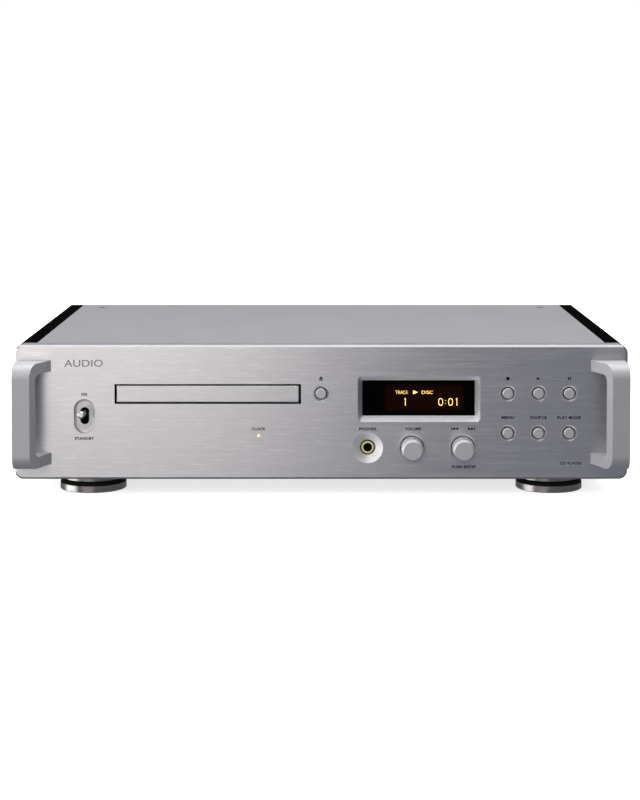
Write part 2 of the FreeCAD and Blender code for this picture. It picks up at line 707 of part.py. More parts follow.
def rack(name, module, space_y, front, rear, low, high, back, side):
    """A straight rack along Y about the pitch line X = 0, with a space at space_y.

    side is the direction that the teeth point in, +1 or -1 along X.
    """
    half_tooth = math.pi * module / 4 - size("gear_backlash") / 2
    tip = TOOTH_ADDENDUM * module
    root = TOOTH_DEDENDUM * module
    slope = math.tan(PRESSURE_ANGLE)
    pitch = math.pi * module
    first = math.ceil((front - space_y) / pitch)
    last = math.floor((rear - space_y) / pitch) - 1
    points = [(back, front), (-root * side, front)]
    for index in range(first, last + 1):
        middle = space_y + (index + 0.5) * pitch
        points.append((-root * side, middle - half_tooth - root * slope))
        points.append((tip * side, middle - half_tooth + tip * slope))
        points.append((tip * side, middle + half_tooth - tip * slope))
        points.append((-root * side, middle + half_tooth + root * slope))
    points += [(-root * side, rear), (back, rear)]
    corners = [Vector(x, y, low) for x, y in points]
    face = Part.Face(Part.makePolygon(corners + corners[:1]))
    item = doc.addObject("Part::Feature", name)
    item.Shape = face.extrude(Vector(0, 0, high - low))
    return item


# ---- case ----------------------------------------------------------------------

REAR_INSIDE = "case_rear-sheet_thick"
SIDE_INSIDE = "case_half-side_thick"
PANEL_BACK = "panel_front+panel_thick"
FLOOR = "case_bottom+sheet_thick"
PLATE_HALF = f"{SIDE_INSIDE}-fit_gap"
BUTTON_SITES = [
    ("button_eject", "0", "button_high"),
    ("button_stop", "button_x", "button_high"),
    ("button_play", "button_x+button_pitch", "button_high"),
    ("button_pause", "button_x+2*button_pitch", "button_high"),
    ("button_menu", "button_x", "button_low"),
    ("button_source", "button_x+button_pitch", "button_low"),
    ("button_play_mode", "button_x+2*button_pitch", "button_low"),
]
KNOB_SITES = ["volume_x", "skip_x"]
HANDLE_ARMS = ["handle_low+handle_arm/2", "handle_high-handle_arm/2"]
HANDLE_MIDDLE = "(handle_foot_inner+handle_outer)/2"
THREAD_DEPTH = "handle_reach/2"


def add_stadium(sketch, x, y, width, height):
    """An upright slot with round ends, by its middle and its overall size."""
    radius = number(width) / 2
    top_y, bottom_y = (f"{y}{sign}(({height})-({width}))/2" for sign in "+-")
    top = Vector(number(x), number(top_y), 0)
    bottom = Vector(number(x), number(bottom_y), 0)
    normal = Vector(0, 0, 1)
    side = Vector(radius, 0, 0)
    upper = Part.ArcOfCircle(Part.Circle(top, normal, radius), 0, math.pi)
    lower = Part.ArcOfCircle(Part.Circle(bottom, normal, radius), math.pi, 2 * math.pi)
    first = sketch.GeometryCount
    sketch.addGeometry(upper, False)
    sketch.addGeometry(Part.LineSegment(top - side, bottom - side), False)
    sketch.addGeometry(lower, False)
    sketch.addGeometry(Part.LineSegment(bottom + side, top + side), False)
    ends = [(first, 2, first + 1, 1), (first + 1, 2, first + 2, 1)]
    ends += [(first + 2, 2, first + 3, 1), (first + 3, 2, first, 1)]
    for here, here_end, there, there_end in ends:
        sketch.addConstraint(Sketcher.Constraint("Tangent", here, here_end, there, there_end))
    hold(sketch, Sketcher.Constraint("Radius", first, radius), f"({width})/2")
    for index, centre, centre_y in ((first, top, top_y), (first + 2, bottom, bottom_y)):
        hold(sketch, Sketcher.Constraint("DistanceX", -1, 1, index, 3, centre.x), x)
        hold(sketch, Sketcher.Constraint("DistanceY", -1, 1, index, 3, centre.y), centre_y)


def on_front(edge):
    """Whether an edge lies in the front panel's face."""
    box = edge.BoundBox
    return box.YLength < 1e-4 and abs(box.YMin - size("panel_front")) < 1e-4


def is_hole_rim(radius):
    """A test for the front rims of the round holes of one radius."""
    def test(edge):
        round_edge = hasattr(edge.Curve, "Radius")
        return round_edge and on_front(edge) and abs(edge.Curve.Radius - size(radius)) < 1e-4
    return test


def is_recess_floor(edge):
    """Whether an edge runs round the floor of the power switch's recess."""
    box = edge.BoundBox
    on_floor = box.YLength < 1e-4 and abs(box.YMin - size("panel_front") - size("recess_depth")) < 1e-4
    half_width, half_height = size("recess_width") / 2, size("recess_height") / 2
    reach = max(abs(box.XMin - size("toggle_x")), abs(box.XMax - size("toggle_x")))
    rise = max(abs(box.ZMin - size("toggle_z")), abs(box.ZMax - size("toggle_z")))
    return on_floor and abs(reach - half_width) < 1e-3 and rise < half_height + 1e-3


def front_panel():
    """The thick aluminium front, with every opening for the tray, display and controls."""
    body = new_body("front_panel")
    middle_z = "(case_bottom+case_top)/2"
    plate = new_sketch(body, "panel_outline", "XZ_Plane", f"-({PANEL_BACK})")
    add_rectangle(plate, "0", middle_z, "panel_width", "case_top-case_bottom")
    pad(body, "panel_plate", plate, "panel_thick")
    dress(body, "Fillet", "panel_corners", lambda edge: is_straight_along(edge, "Y"), "panel_corner")
    dress(body, "Chamfer", "panel_rim", on_front, "panel_edge")
    holes = new_sketch(body, "panel_holes", "XZ_Plane", "-panel_front")
    add_rectangle(holes, "tray_x", "tray_z", "slot_width", "slot_height")
    add_rounded(holes, "display_x", "display_z", "window_width", "window_height", "window_corner")
    for _, x, z in BUTTON_SITES:
        add_circle(holes, x, z, "button_hole")
    for x in KNOB_SITES:
        add_circle(holes, x, "knob_z", "knob_hole")
    add_circle(holes, "jack_x", "jack_z", "jack_nose")
    add_circle(holes, "led_x", "led_z", "led_radius")
    add_stadium(holes, "toggle_x", "toggle_z", "toggle_slot_width", "toggle_slot_height")
    pocket(body, "panel_hole_cuts", holes)
    dress(body, "Chamfer", "button_sinks", is_hole_rim("button_hole"), "button_sink")
    dress(body, "Chamfer", "knob_sinks", is_hole_rim("knob_hole"), "knob_sink")
    mouth = new_sketch(body, "display_outline", "XZ_Plane", "-panel_front")
    add_rounded(mouth, "display_x", "display_z", "display_width", "display_height", "display_corner")
    throat = new_sketch(body, "window_outline", "XZ_Plane", "-panel_front-display_bevel")
    add_rounded(throat, "display_x", "display_z", "window_width", "window_height", "window_corner")
    funnel(body, "display_bevel_cut", mouth, throat)
    recess = new_sketch(body, "recess_outline", "XZ_Plane", "-panel_front")
    add_stadium(recess, "toggle_x", "toggle_z", "recess_width", "recess_height")
    pocket(body, "recess_cut", recess, "recess_depth")
    dress(body, "Fillet", "recess_floor", is_recess_floor, "recess_round")
    seat = new_sketch(body, "window_seat_outline", "XZ_Plane", f"-({PANEL_BACK})")
    seat_size = [f"{side}+2*window_lip" for side in ("window_width", "window_height")]
    add_rectangle(seat, "display_x", "display_z", *seat_size)
    pocket(body, "window_seat", seat, "panel_thick-display_bevel", upwards=True)
    threads = new_sketch(body, "handle_thread_circles", "XZ_Plane", "-panel_front")
    for side in ("", "-"):
        for z in HANDLE_ARMS:
            add_circle(threads, f"{side}{HANDLE_MIDDLE}", z, "handle_thread")
    pocket(body, "handle_threads", threads)

    def dish(item):
        attach(body, item, "XZ_Plane", "-panel_front-jack_dish_depth")
        bind(item, Radius1="jack_nose", Radius2="jack_dish", Height="jack_dish_depth")
        bind(item, AttachmentOffset__Base__x="jack_x", AttachmentOffset__Base__y="jack_z")

    take_away(body, "SubtractiveCone", "jack_dish_cut", dish)
    return keep(body, "front_panel")


def handle(label, side):
    """A flat bar bent to a U, its inner side slanting outwards to the front."""
    body = new_body(label)
    front = "panel_front-handle_reach"
    outline = new_sketch(body, f"{label}_side_view", "YZ_Plane", f"{side}handle_outer")
    outer = [("panel_front", "handle_low"), (front, "handle_low"), (front, "handle_high"),
             ("panel_front", "handle_high"), ("panel_front", "handle_high-handle_arm"),
             (f"{front}+handle_bar", "handle_high-handle_arm"),
             (f"{front}+handle_bar", "handle_low+handle_arm"),
             ("panel_front", "handle_low+handle_arm")]
    add_outline(outline, outer)
    bar = pad(body, f"{label}_bar", outline, "handle_outer-handle_foot_inner")
    bar.Reversed = side == ""
    front_y = number(front)
    inner_y = number(f"{front}+handle_bar")

    def at(y):
        return lambda edge: is_straight_along(edge, "X") and abs(edge.BoundBox.YMin - y) < 1e-3

    dress(body, "Fillet", f"{label}_corners", at(front_y), "handle_corner")
    dress(body, "Fillet", f"{label}_crooks", at(inner_y), "handle_crook")
    slant = "(handle_face_inner-handle_foot_inner)/handle_reach"
    wedge = new_sketch(body, f"{label}_slant_outline", "XY_Plane")
    beyond = "1.2*handle_reach"
    add_outline(wedge, [(f"{side}handle_foot_inner", "panel_front"),
                        (f"{side}(handle_foot_inner+{slant}*{beyond})", f"panel_front-{beyond}"),
                        (f"{side}(handle_foot_inner-handle_arm)", f"panel_front-{beyond}"),
                        (f"{side}(handle_foot_inner-handle_arm)", "panel_front")])
    pocket(body, f"{label}_slant", wedge)
    threads = new_sketch(body, f"{label}_thread_circles", "XZ_Plane", "-panel_front")
    for z in HANDLE_ARMS:
        add_circle(threads, f"{side}{HANDLE_MIDDLE}", z, "handle_thread")
    pocket(body, f"{label}_threads", threads, THREAD_DEPTH, upwards=True)
    return keep(body, label)


def handle_screws():
    """Countersunk screws that reach each handle from behind the front panel."""
    screws = []
    tip = f"panel_front-{THREAD_DEPTH}+handle_screw_gap"
    for side in ("", "-"):
        for z in HANDLE_ARMS:
            name = f"handle_screw_{len(screws) + 1}"
            x = f"{side}{HANDLE_MIDDLE}"
            screws.append(rod(name, "handle_thread", tip, PANEL_BACK, x=x, z=z, along=ALONG_Y))
    return keep(group("handle_screws", screws), "handle_screws")


SCREW_Y = "case_rear-screw_inset"
COUNTERSINK_DEPTH = "screw_head-screw_shank"


def top_cover():
    """The top plate, its long edges broken by a narrow chamfer."""
    body = new_body("top_plate")
    outline = new_sketch(body, "top_outline", "XY_Plane", "case_top-top_thick")
    length = f"case_rear-({PANEL_BACK})"
    add_rectangle(outline, "0", f"(case_rear+{PANEL_BACK})/2", f"2*({PLATE_HALF})", length)
    pad(body, "top_sheet", outline, "top_thick")
    top = size("case_top")

    def is_upper_long(edge):
        return is_straight_along(edge, "Y") and abs(edge.BoundBox.ZMin - top) < 1e-3

    dress(body, "Chamfer", "top_edges", is_upper_long, "top_edge")
    return keep(cut("top_cover", body, *screw_solids("top_hole")), "top_cover")


def screw_solids(name):
    """Two countersunk heads with their shanks, pointing down from the top face."""
    profile = [("0", "0"), ("screw_head", "0"), ("screw_shank", f"-({COUNTERSINK_DEPTH})"),
               ("screw_shank", "-screw_length"), ("0", "-screw_length")]
    return [turned(f"{name}_{index}", profile, f"{side}screw_x", SCREW_Y, "case_top")
            for index, side in enumerate(("-", ""), start=1)]


def cover_screws():
    """Two countersunk screws with a hexagon socket."""
    screws = []
    for blank, side in zip(screw_solids("screw_blank"), ("-", "")):
        name = f"cover_screw_{len(screws) + 1}"
        socket = doc.addObject("Part::Prism", f"{name}_socket")
        socket.Polygon = 6
        bind(socket, Circumradius="screw_socket", Height="screw_socket_depth+1")
        place(socket, f"{side}screw_x", SCREW_Y, "case_top-screw_socket_depth")
        screws.append(cut(name, blank, socket))
    return keep(group("cover_screws", screws), "cover_screws")


def side_panel(label, low, high):
    """A thick side plate, flush with the top cover, with a chamfer along its long edges."""
    body = new_body(label)
    outline = new_sketch(body, f"{label}_section", "XZ_Plane", "-case_rear")
    middle = (f"({low}+{high})/2", "(case_bottom+case_top)/2")
    add_rectangle(outline, *middle, "side_thick", "case_top-case_bottom")
    pad(body, f"{label}_plate", outline, f"case_rear-({PANEL_BACK})")
    outer = size("case_half")

    def is_outer_long(edge):
        return is_straight_along(edge, "Y") and abs(abs(edge.BoundBox.XMin) - outer) < 1e-3

    dress(body, "Chamfer", f"{label}_edges", is_outer_long, "side_edge")
    return keep(body, label)


FOOT_SITES = [("-foot_x", "foot_front"), ("foot_x", "foot_front"), ("0", "foot_rear")]


def bottom_plate():
    plate = block("floor_sheet", (f"-({PLATE_HALF})", PLATE_HALF), (PANEL_BACK, REAR_INSIDE),
                  ("case_bottom", FLOOR))
    holes = []
    for index, (x, y) in enumerate(FOOT_SITES, start=1):
        holes.append(rod(f"foot_hole_{index}", "foot_stud", "case_bottom-1", f"{FLOOR}+1", x=x, y=y))
    return keep(cut("bottom_plate", plate, *holes), "bottom_plate")


def feet():
    """Each foot is a turned cup with a stud, a damping ring and a base disc."""
    cups, rings, discs = [], [], []
    cup = [("0", "foot_ring_top"), ("foot_cup_radius-foot_edge", "foot_ring_top"),
           ("foot_cup_radius", "foot_ring_top+foot_edge"), ("foot_cup_radius", "case_bottom"),
           ("foot_stud", "case_bottom"), ("foot_stud", "foot_stud_top"), ("0", "foot_stud_top")]
    disc = [("0", "0"), ("foot_disc_radius-foot_edge", "0"), ("foot_disc_radius", "foot_edge"),
            ("foot_disc_radius", "foot_disc_height-foot_edge/2"),
            ("foot_disc_radius-foot_edge/2", "foot_disc_height"), ("0", "foot_disc_height")]
    ring = ("foot_ring_radius", "foot_disc_height", "foot_ring_top")
    for index, (x, y) in enumerate(FOOT_SITES, start=1):
        cups.append(turned(f"foot_cup_{index}", cup, x, y))
        rings.append(rod(f"foot_ring_{index}", *ring, x=x, y=y))
        discs.append(turned(f"foot_disc_{index}", disc, x, y))
    keep(group("foot_cups", cups), "foot_cups")
    keep(group("foot_rings", rings), "foot_rings")
    keep(group("foot_discs", discs), "foot_discs")


# Round sockets: name, X, radius, bore radius, length behind the rear panel.
ROUND_SOCKETS = [
    ("xlr_left", "-172", "xlr_radius", "xlr_bore", "xlr_out"),
    ("xlr_right", "-138", "xlr_radius", "xlr_bore", "xlr_out"),
    ("rca_left", "-100", "rca_radius", "pin_bore", "socket_out"),
    ("rca_right", "-72", "rca_radius", "pin_bore", "socket_out"),
    ("rca_digital", "-34", "rca_radius", "pin_bore", "socket_out"),
    ("clock_input", "36", "clock_radius", "pin_bore", "socket_out"),
]
# Square sockets: name, X, half width.
SQUARE_SOCKETS = [
    ("optical_output", "0", "optical_half"),
    ("usb_input", "68", "usb_half"),
]
# The inlet's pins, from its middle: the earth pin stands above the other two.
INLET_PINS = [("-pin_pitch", "pin_drop"), ("0", "pin_rise"), ("pin_pitch", "pin_drop")]


def square_block(name, x, half_width, y, inset="0"):
    """A block of a square socket's outline, made smaller all round by inset."""
    return block(name, (f"{x}-{half_width}+{inset}", f"{x}+{half_width}-{inset}"), y,
                 (f"socket_z-square_half+{inset}", f"socket_z+square_half-{inset}"))


def inlet_block(name, y, grow):
    """A block of the mains inlet's outline, made larger all round by grow."""
    return block(name, (f"inlet_x-inlet_half_width-({grow})", f"inlet_x+inlet_half_width+{grow}"), y,
                 (f"inlet_z-inlet_half_height-({grow})", f"inlet_z+inlet_half_height+{grow}"))


def rear_panel():
    """The rear sheet, its flange under the top cover, and the sockets' holes."""
    wide = (f"-({PLATE_HALF})", PLATE_HALF)
    through = (f"{REAR_INSIDE}-1", "case_rear+1")
    top = "case_top-top_thick"
    upright = block("rear_sheet", wide, (REAR_INSIDE, "case_rear"), ("case_bottom", top))
    flange = block("rear_flange_sheet", wide, ("case_rear-rear_flange", REAR_INSIDE),
                   (f"{top}-sheet_thick", top))
    holes = screw_solids("flange_hole")
    for name, x, radius, _, _ in ROUND_SOCKETS:
        holes.append(rod(f"{name}_hole", radius, *through, x=x, z="socket_z", along=ALONG_Y))
    for name, x, half_width in SQUARE_SOCKETS:
        holes.append(square_block(f"{name}_hole", x, half_width, through))
    holes.append(inlet_block("inlet_hole", through, "0"))
    return keep(cut("rear_panel", fuse("rear_bent_sheet", upright, flange), *holes), "rear_panel")


def mains_inlet():
    """A three-pin mains inlet: an open shell with its pins standing inside."""
    shell = inlet_block("inlet_shell", ("case_rear-inlet_depth", "case_rear"), "0")
    rim = inlet_block("inlet_rim_block", ("case_rear", "case_rear+inlet_rim"), "inlet_rim")
    mouth = inlet_block("inlet_mouth", ("case_rear-inlet_floor", "case_rear+inlet_rim+1"), "-inlet_wall")
    pins = []
    for index, (across, up) in enumerate(INLET_PINS, start=1):
        x, z = f"inlet_x+({across})", f"inlet_z+({up})"
        pins.append(block(f"inlet_pin_{index}", (f"{x}-pin_half_width", f"{x}+pin_half_width"),
                          ("case_rear-inlet_floor-1", "case_rear-pin_recess"),
                          (f"{z}-pin_half_height", f"{z}+pin_half_height")))
    open_shell = cut("inlet_open_shell", fuse("inlet_body", shell, rim), mouth)
    return keep(fuse("mains_inlet", open_shell, *pins), "mains_inlet")


def rear_sockets():
    """The audio, digital and clock sockets, each a separate solid with its own opening."""
    sockets = []
    inside = "case_rear-socket_inside"
    for name, x, radius, bore, out in ROUND_SOCKETS:
        spot = {"x": x, "z": "socket_z", "along": ALONG_Y}
        body = rod(f"{name}_body", radius, inside, f"case_rear+{out}", **spot)
        mouth = rod(f"{name}_mouth", bore, "case_rear-bore_depth", f"case_rear+{out}+1", **spot)
        sockets.append(cut(name, body, mouth))
    for name, x, half_width in SQUARE_SOCKETS:
        body = square_block(f"{name}_body", x, half_width, (inside, "case_rear+square_out"))
        mouth = square_block(f"{name}_mouth", x, half_width,
                             ("case_rear-square_depth", "case_rear+square_out+1"), "square_wall")
        sockets.append(cut(name, body, mouth))
    return keep(group("rear_sockets", sockets), "rear_sockets")


def sub_panel():
    """The steel plate behind the front panel, with an opening for each control."""
    back = f"{PANEL_BACK}+sheet_thick"
    plate = block("sub_panel_sheet", (f"-({PLATE_HALF})", PLATE_HALF), (PANEL_BACK, back),
                  (FLOOR, "case_top-top_thick"))
    through = (f"{PANEL_BACK}-1", f"{back}+1")

    def window(name, x, z, width, height):
        return block(f"sub_panel_{name}", (f"{x}-({width})/2", f"{x}+({width})/2"), through,
                     (f"{z}-({height})/2", f"{z}+({height})/2"))

    def hole(name, x, z, radius):
        return rod(f"sub_panel_{name}", radius, *through, x=x, z=z, along=ALONG_Y)

    display_size = [f"{side}+2*display_space" for side in ("window_width", "window_height")]
    openings = [
        window("tray", "tray_x", "tray_z", "slot_width", "slot_height"),
        window("display", "display_x", "display_z", *display_size),
        window("toggle", "toggle_x", "toggle_z", "recess_width", "recess_height"),
        hole("jack", "jack_x", "jack_z", "jack_nose"),
        hole("led", "led_x", "led_z", "led_radius"),
    ]
    openings += [hole(name, x, z, "button_hole+button_flange_room") for name, x, z in BUTTON_SITES]
    openings += [hole(x, x, "knob_z", "encoder_nose") for x in KNOB_SITES]
    return keep(cut("sub_panel", plate, *openings), "sub_panel")


# ---- controls -----------------------------------------------------------------

ENCODER_FRONT = f"{PANEL_BACK}+encoder_front"
ENCODER_BACK = f"{PANEL_BACK}+encoder_back"


def buttons():
    """Round push buttons: a chamfered cap, a retaining flange and a stem."""
    bevel = "button_radius-button_face"
    flange = "-panel_thick-button_flange_gap"
    flange_end = f"{flange}-button_flange_thick"
    stem_end = "-panel_thick-button_tail"
    profile = [("0", "button_out"), ("button_face", "button_out"), ("button_radius", f"button_out-({bevel})"),
               ("button_radius", flange), ("button_flange", flange), ("button_flange", flange_end),
               ("button_stem", flange_end), ("button_stem", stem_end), ("0", stem_end)]
    bushings = []
    for name, x, z in BUTTON_SITES:
        keep(turned(name, profile, x, "panel_front", z, TOWARDS_FRONT), name)
        bushings.append(tube(f"{name}_bushing", "button_hole", "button_radius+button_fit",
                             "panel_front+bushing_recess", PANEL_BACK, x=x, z=z, along=ALONG_Y))
    return keep(group("button_bushings", bushings), "button_bushings")


def knob(label, x):
    """A plain turned knob with a chamfered front edge, bored for its shaft."""
    profile = [("0", "knob_out"), ("knob_radius-knob_edge", "knob_out"),
               ("knob_radius", "knob_out-knob_edge"), ("knob_radius", "-knob_tail"),
               ("shaft_radius", "-knob_tail"), ("shaft_radius", "knob_out/2"), ("0", "knob_out/2")]
    return keep(turned(label, profile, x, "panel_front", "knob_z", TOWARDS_FRONT), label)


def shaft(label, x):
    end = "-panel_thick-shaft_tail"
    profile = [("0", "knob_out/2"), ("shaft_radius", "knob_out/2"), ("shaft_radius", end), ("0", end)]
    return keep(turned(label, profile, x, "panel_front", "knob_z", TOWARDS_FRONT), label)


def encoder(label, x, has_rotor):
    """A rotary encoder: a round bushing on a square body, bored for the shaft."""
    spot = {"x": x, "z": "knob_z", "along": ALONG_Y}
    nose_front = "panel_front+knob_tail+encoder_gap"
    nose = rod(f"{label}_nose", "encoder_nose", nose_front, ENCODER_FRONT, **spot)
    body = block(f"{label}_body", (f"{x}-encoder_half", f"{x}+encoder_half"), (ENCODER_FRONT, ENCODER_BACK),
                 ("knob_z-encoder_half", "knob_z+encoder_half"))
    tools = [rod(f"{label}_bore", "shaft_radius+shaft_fit", f"{nose_front}-1",
                 f"{PANEL_BACK}+shaft_tail+1", **spot)]
    if has_rotor:
        front = f"{ENCODER_FRONT}+rotor_front-rotor_gap"
        tools.append(rod(f"{label}_chamber", "rotor_radius+rotor_gap", front,
                         f"{front}+rotor_thick+2*rotor_gap", **spot))
    return keep(cut(label, fuse(f"{label}_solid", nose, body), *tools), label)


def skip_rotor():
    """The push encoder's rotor, which the shaft turns and slides through."""
    front = f"{ENCODER_FRONT}+rotor_front"
    ring = tube("skip_rotor", "rotor_radius", "shaft_radius+shaft_fit", front, f"{front}+rotor_thick",
                x="skip_x", z="knob_z", along=ALONG_Y)
    return keep(ring, "skip_rotor")


def headphone_jack():
    """The jack's black housing and the bright sleeve that a 6.35 mm plug enters."""
    spot = {"x": "jack_x", "z": "jack_z", "along": ALONG_Y}
    face = "panel_front+jack_dish_depth"
    nose_end = f"{PANEL_BACK}+sheet_thick"
    bore_end = f"{face}+jack_depth"
    nose = rod("jack_nose_solid", "jack_nose", face, nose_end, **spot)
    housing = block("jack_housing", ("jack_x-jack_half_width", "jack_x+jack_half_width"),
                    (nose_end, f"{bore_end}+jack_wall"),
                    ("jack_z-jack_half_height", "jack_z+jack_half_height"))
    space = rod("jack_space", "jack_sleeve_radius", f"{face}-1", bore_end, **spot)
    keep(cut("jack_body", fuse("jack_solid", nose, housing), space), "jack_body")
    sleeve_front = f"{face}-jack_sleeve_out"
    sleeve = tube("jack_sleeve", "jack_sleeve_radius", "jack_bore", sleeve_front, bore_end, **spot)
    return keep(sleeve, "jack_sleeve")


def toggle():
    """A bat lever on its own trunnions, held by a forked bracket."""
    pivot_y = "panel_front+toggle_pivot"
    tip = "toggle_pivot+toggle_out"
    profile = [("0", "-toggle_tail"), ("toggle_neck", "-toggle_tail"), ("toggle_neck", f"{tip}-toggle_flare"),
               ("toggle_tip", f"{tip}-toggle_head"), ("toggle_tip", f"{tip}-toggle_round"),
               ("toggle_tip-toggle_round", tip), ("0", tip)]
    bat = turned("toggle_bat", profile)
    trunnions = rod("toggle_trunnions", "toggle_trunnion", "-trunnion_half", "trunnion_half", along=ALONG_X)
    lever = fuse("toggle_lever", bat, trunnions)
    place(lever, "toggle_x", pivot_y, "toggle_z", Rotation(Vector(1, 0, 0), 90 - size("toggle_tilt")))
    keep(lever, "toggle_lever")
    half_height = "recess_height/2"
    outer_half = f"{half_height}+bracket_over"
    inner = "bracket_half-bracket_wall"
    solid = block("toggle_bracket_solid", ("toggle_x-bracket_half", "toggle_x+bracket_half"),
                  (f"{PANEL_BACK}+sheet_thick", f"{pivot_y}+bracket_behind"),
                  (f"toggle_z-({outer_half})", f"toggle_z+{outer_half}"))
    inside = block("toggle_bracket_inside", (f"toggle_x-({inner})", f"toggle_x+{inner}"),
                   (PANEL_BACK, f"{pivot_y}+bracket_space"),
                   (f"toggle_z-{half_height}", f"toggle_z+{half_height}"))
    bearing = rod("toggle_bearing", "toggle_trunnion+shaft_fit", "toggle_x-trunnion_half-trunnion_gap",
                  "toggle_x+trunnion_half+trunnion_gap", y=pivot_y, z="toggle_z", along=ALONG_X)
    return keep(cut("toggle_bracket", solid, inside, bearing), "toggle_bracket")


def display_block(name, y, over):
    """A block behind the display's opening, larger than the clear height by over."""
    grow_x, grow_z = over
    return block(name, (f"display_x-window_width/2-({grow_x})", f"display_x+window_width/2+({grow_x})"), y,
                 (f"display_z-window_height/2-({grow_z})", f"display_z+window_height/2+({grow_z})"))


def display():
    """The dark window, and the display behind it."""
    front = "panel_front+display_bevel"
    behind = f"{front}+window_thick"
    lap = "window_lip-fit_gap"
    keep(display_block("window_plate", (front, behind), (lap, lap)), "display_window")
    module = display_block("display_glass", (f"{behind}+display_gap", "front_board-display_tail"),
                           ("0", "display_over"))
    return keep(module, "display_module")


def clock_led():
    lens = rod("led_lens", "led_radius", "panel_front", f"{PANEL_BACK}+sheet_thick", x="led_x", z="led_z",
               along=ALONG_Y)
    return keep(lens, "clock_led")


# Upright boards: name, low and high X, low and high Z, front face.
UPRIGHT_BOARDS = [
    ("button_board", ("button_x-13", "button_x+2*button_pitch+13"), ("button_low-10", "button_high+10"),
     "front_board"),
    ("eject_board", ("-9", "12"), ("button_high-12", "button_high+12"), "front_board"),
    ("knob_board", ("volume_x-15", "skip_x+13"), ("knob_z-13", "knob_z+10"), ENCODER_BACK),
    ("display_board", ("display_x-47", "display_x+46"), ("display_z-18", "display_z+20"),
     "front_board-display_tail"),
    ("lamp_board", ("led_x-8", "led_x+8"), ("led_z-6", "led_z+6"), f"{PANEL_BACK}+sheet_thick"),
]


def control_boards():
    """The boards behind the front panel, with a push switch behind each button."""
    solids = [block(name, x, (front, f"{front}+board_thick"), z) for name, x, z, front in UPRIGHT_BOARDS]
    for name, x, z in BUTTON_SITES:
        solids.append(block(f"{name}_switch", (f"{x}-switch_half", f"{x}+switch_half"),
                            ("front_board-switch_depth", "front_board"),
                            (f"{z}-switch_half", f"{z}+switch_half")))
    return keep(group("control_boards", solids), "control_boards")


# ---- disc drive -----------------------------------------------------------------

GEAR_RADIUS = "gear_module*gear_teeth/2"
DRIVE_GEAR_X = f"tray_x+rack_line-{GEAR_RADIUS}"
PULLEY_GEAR_X = f"tray_x+rack_line-3*{GEAR_RADIUS}"
MOTOR_X = "tray_x+motor_x"
FRAME_FLOOR = "frame_low+frame_base"
TRAY_FRONT = "panel_front+door_thick"


def tray_door():
    body = new_body("tray_door")
    outline = new_sketch(body, "door_outline", "XZ_Plane", f"-({TRAY_FRONT})")
    add_rectangle(outline, "tray_x", "tray_z", "door_width", "door_height")
    pad(body, "door_plate", outline, "door_thick")
    dress(body, "Chamfer", "door_rim", on_front, "door_edge")
    return keep(body, "tray_door")


def disc_tray():
    """The tray: two disc wells, a slot open to the rear, and the rack beneath."""
    body = new_body("tray_moulding")
    middle_y = f"({TRAY_FRONT}+tray_rear)/2"
    outline = new_sketch(body, "tray_outline", "XY_Plane", "tray_low")
    add_rectangle(outline, "tray_x", middle_y, "2*tray_half", f"tray_rear-({TRAY_FRONT})")
    pad(body, "tray_plate", outline, "tray_high-tray_low")
    well = new_sketch(body, "disc_well_circle", "XY_Plane", "tray_high")
    add_circle(well, "tray_x", "disc_y", "disc_well")
    pocket(body, "disc_well_cut", well, "well_depth")
    small = new_sketch(body, "small_well_circle", "XY_Plane", "tray_high")
    add_circle(small, "tray_x", "disc_y", "small_well")
    pocket(body, "small_well_cut", small, "well_depth+small_well_depth")
    hub = new_sketch(body, "hub_circle", "XY_Plane", "tray_high")
    add_circle(hub, "tray_x", "disc_y", "tray_slot_half")
    pocket(body, "hub_cut", hub)
    slot = new_sketch(body, "slot_outline", "XY_Plane", "tray_high")
    slot_end = "tray_rear+1"
    add_rectangle(slot, "tray_x", f"(disc_y+{slot_end})/2", "2*tray_slot_half", f"{slot_end}-disc_y")
    pocket(body, "slot_cut", slot)
    hollow = new_sketch(body, "hollow_outline", "XY_Plane", "tray_low")
    hollow_front = f"{TRAY_FRONT}+hollow_inset"
    hollow_rear = "tray_rear+1"
    hollow_length = f"{hollow_rear}-({hollow_front})"
    add_rectangle(hollow, "tray_x", f"({hollow_front}+{hollow_rear})/2", "2*rack_back", hollow_length)
    pocket(body, "hollow_cut", hollow, "hollow_top-tray_low", upwards=True)
    teeth = rack("tray_rack", size("gear_module"), size("gear_y"), size("rack_front"), size("tray_rear"),
                 size("rack_low"), size("hollow_top"), size("rack_back") - size("rack_line"), -1)
    place(teeth, "tray_x+rack_line", "0", "0")
    return keep(fuse("disc_tray", body, teeth), "disc_tray")


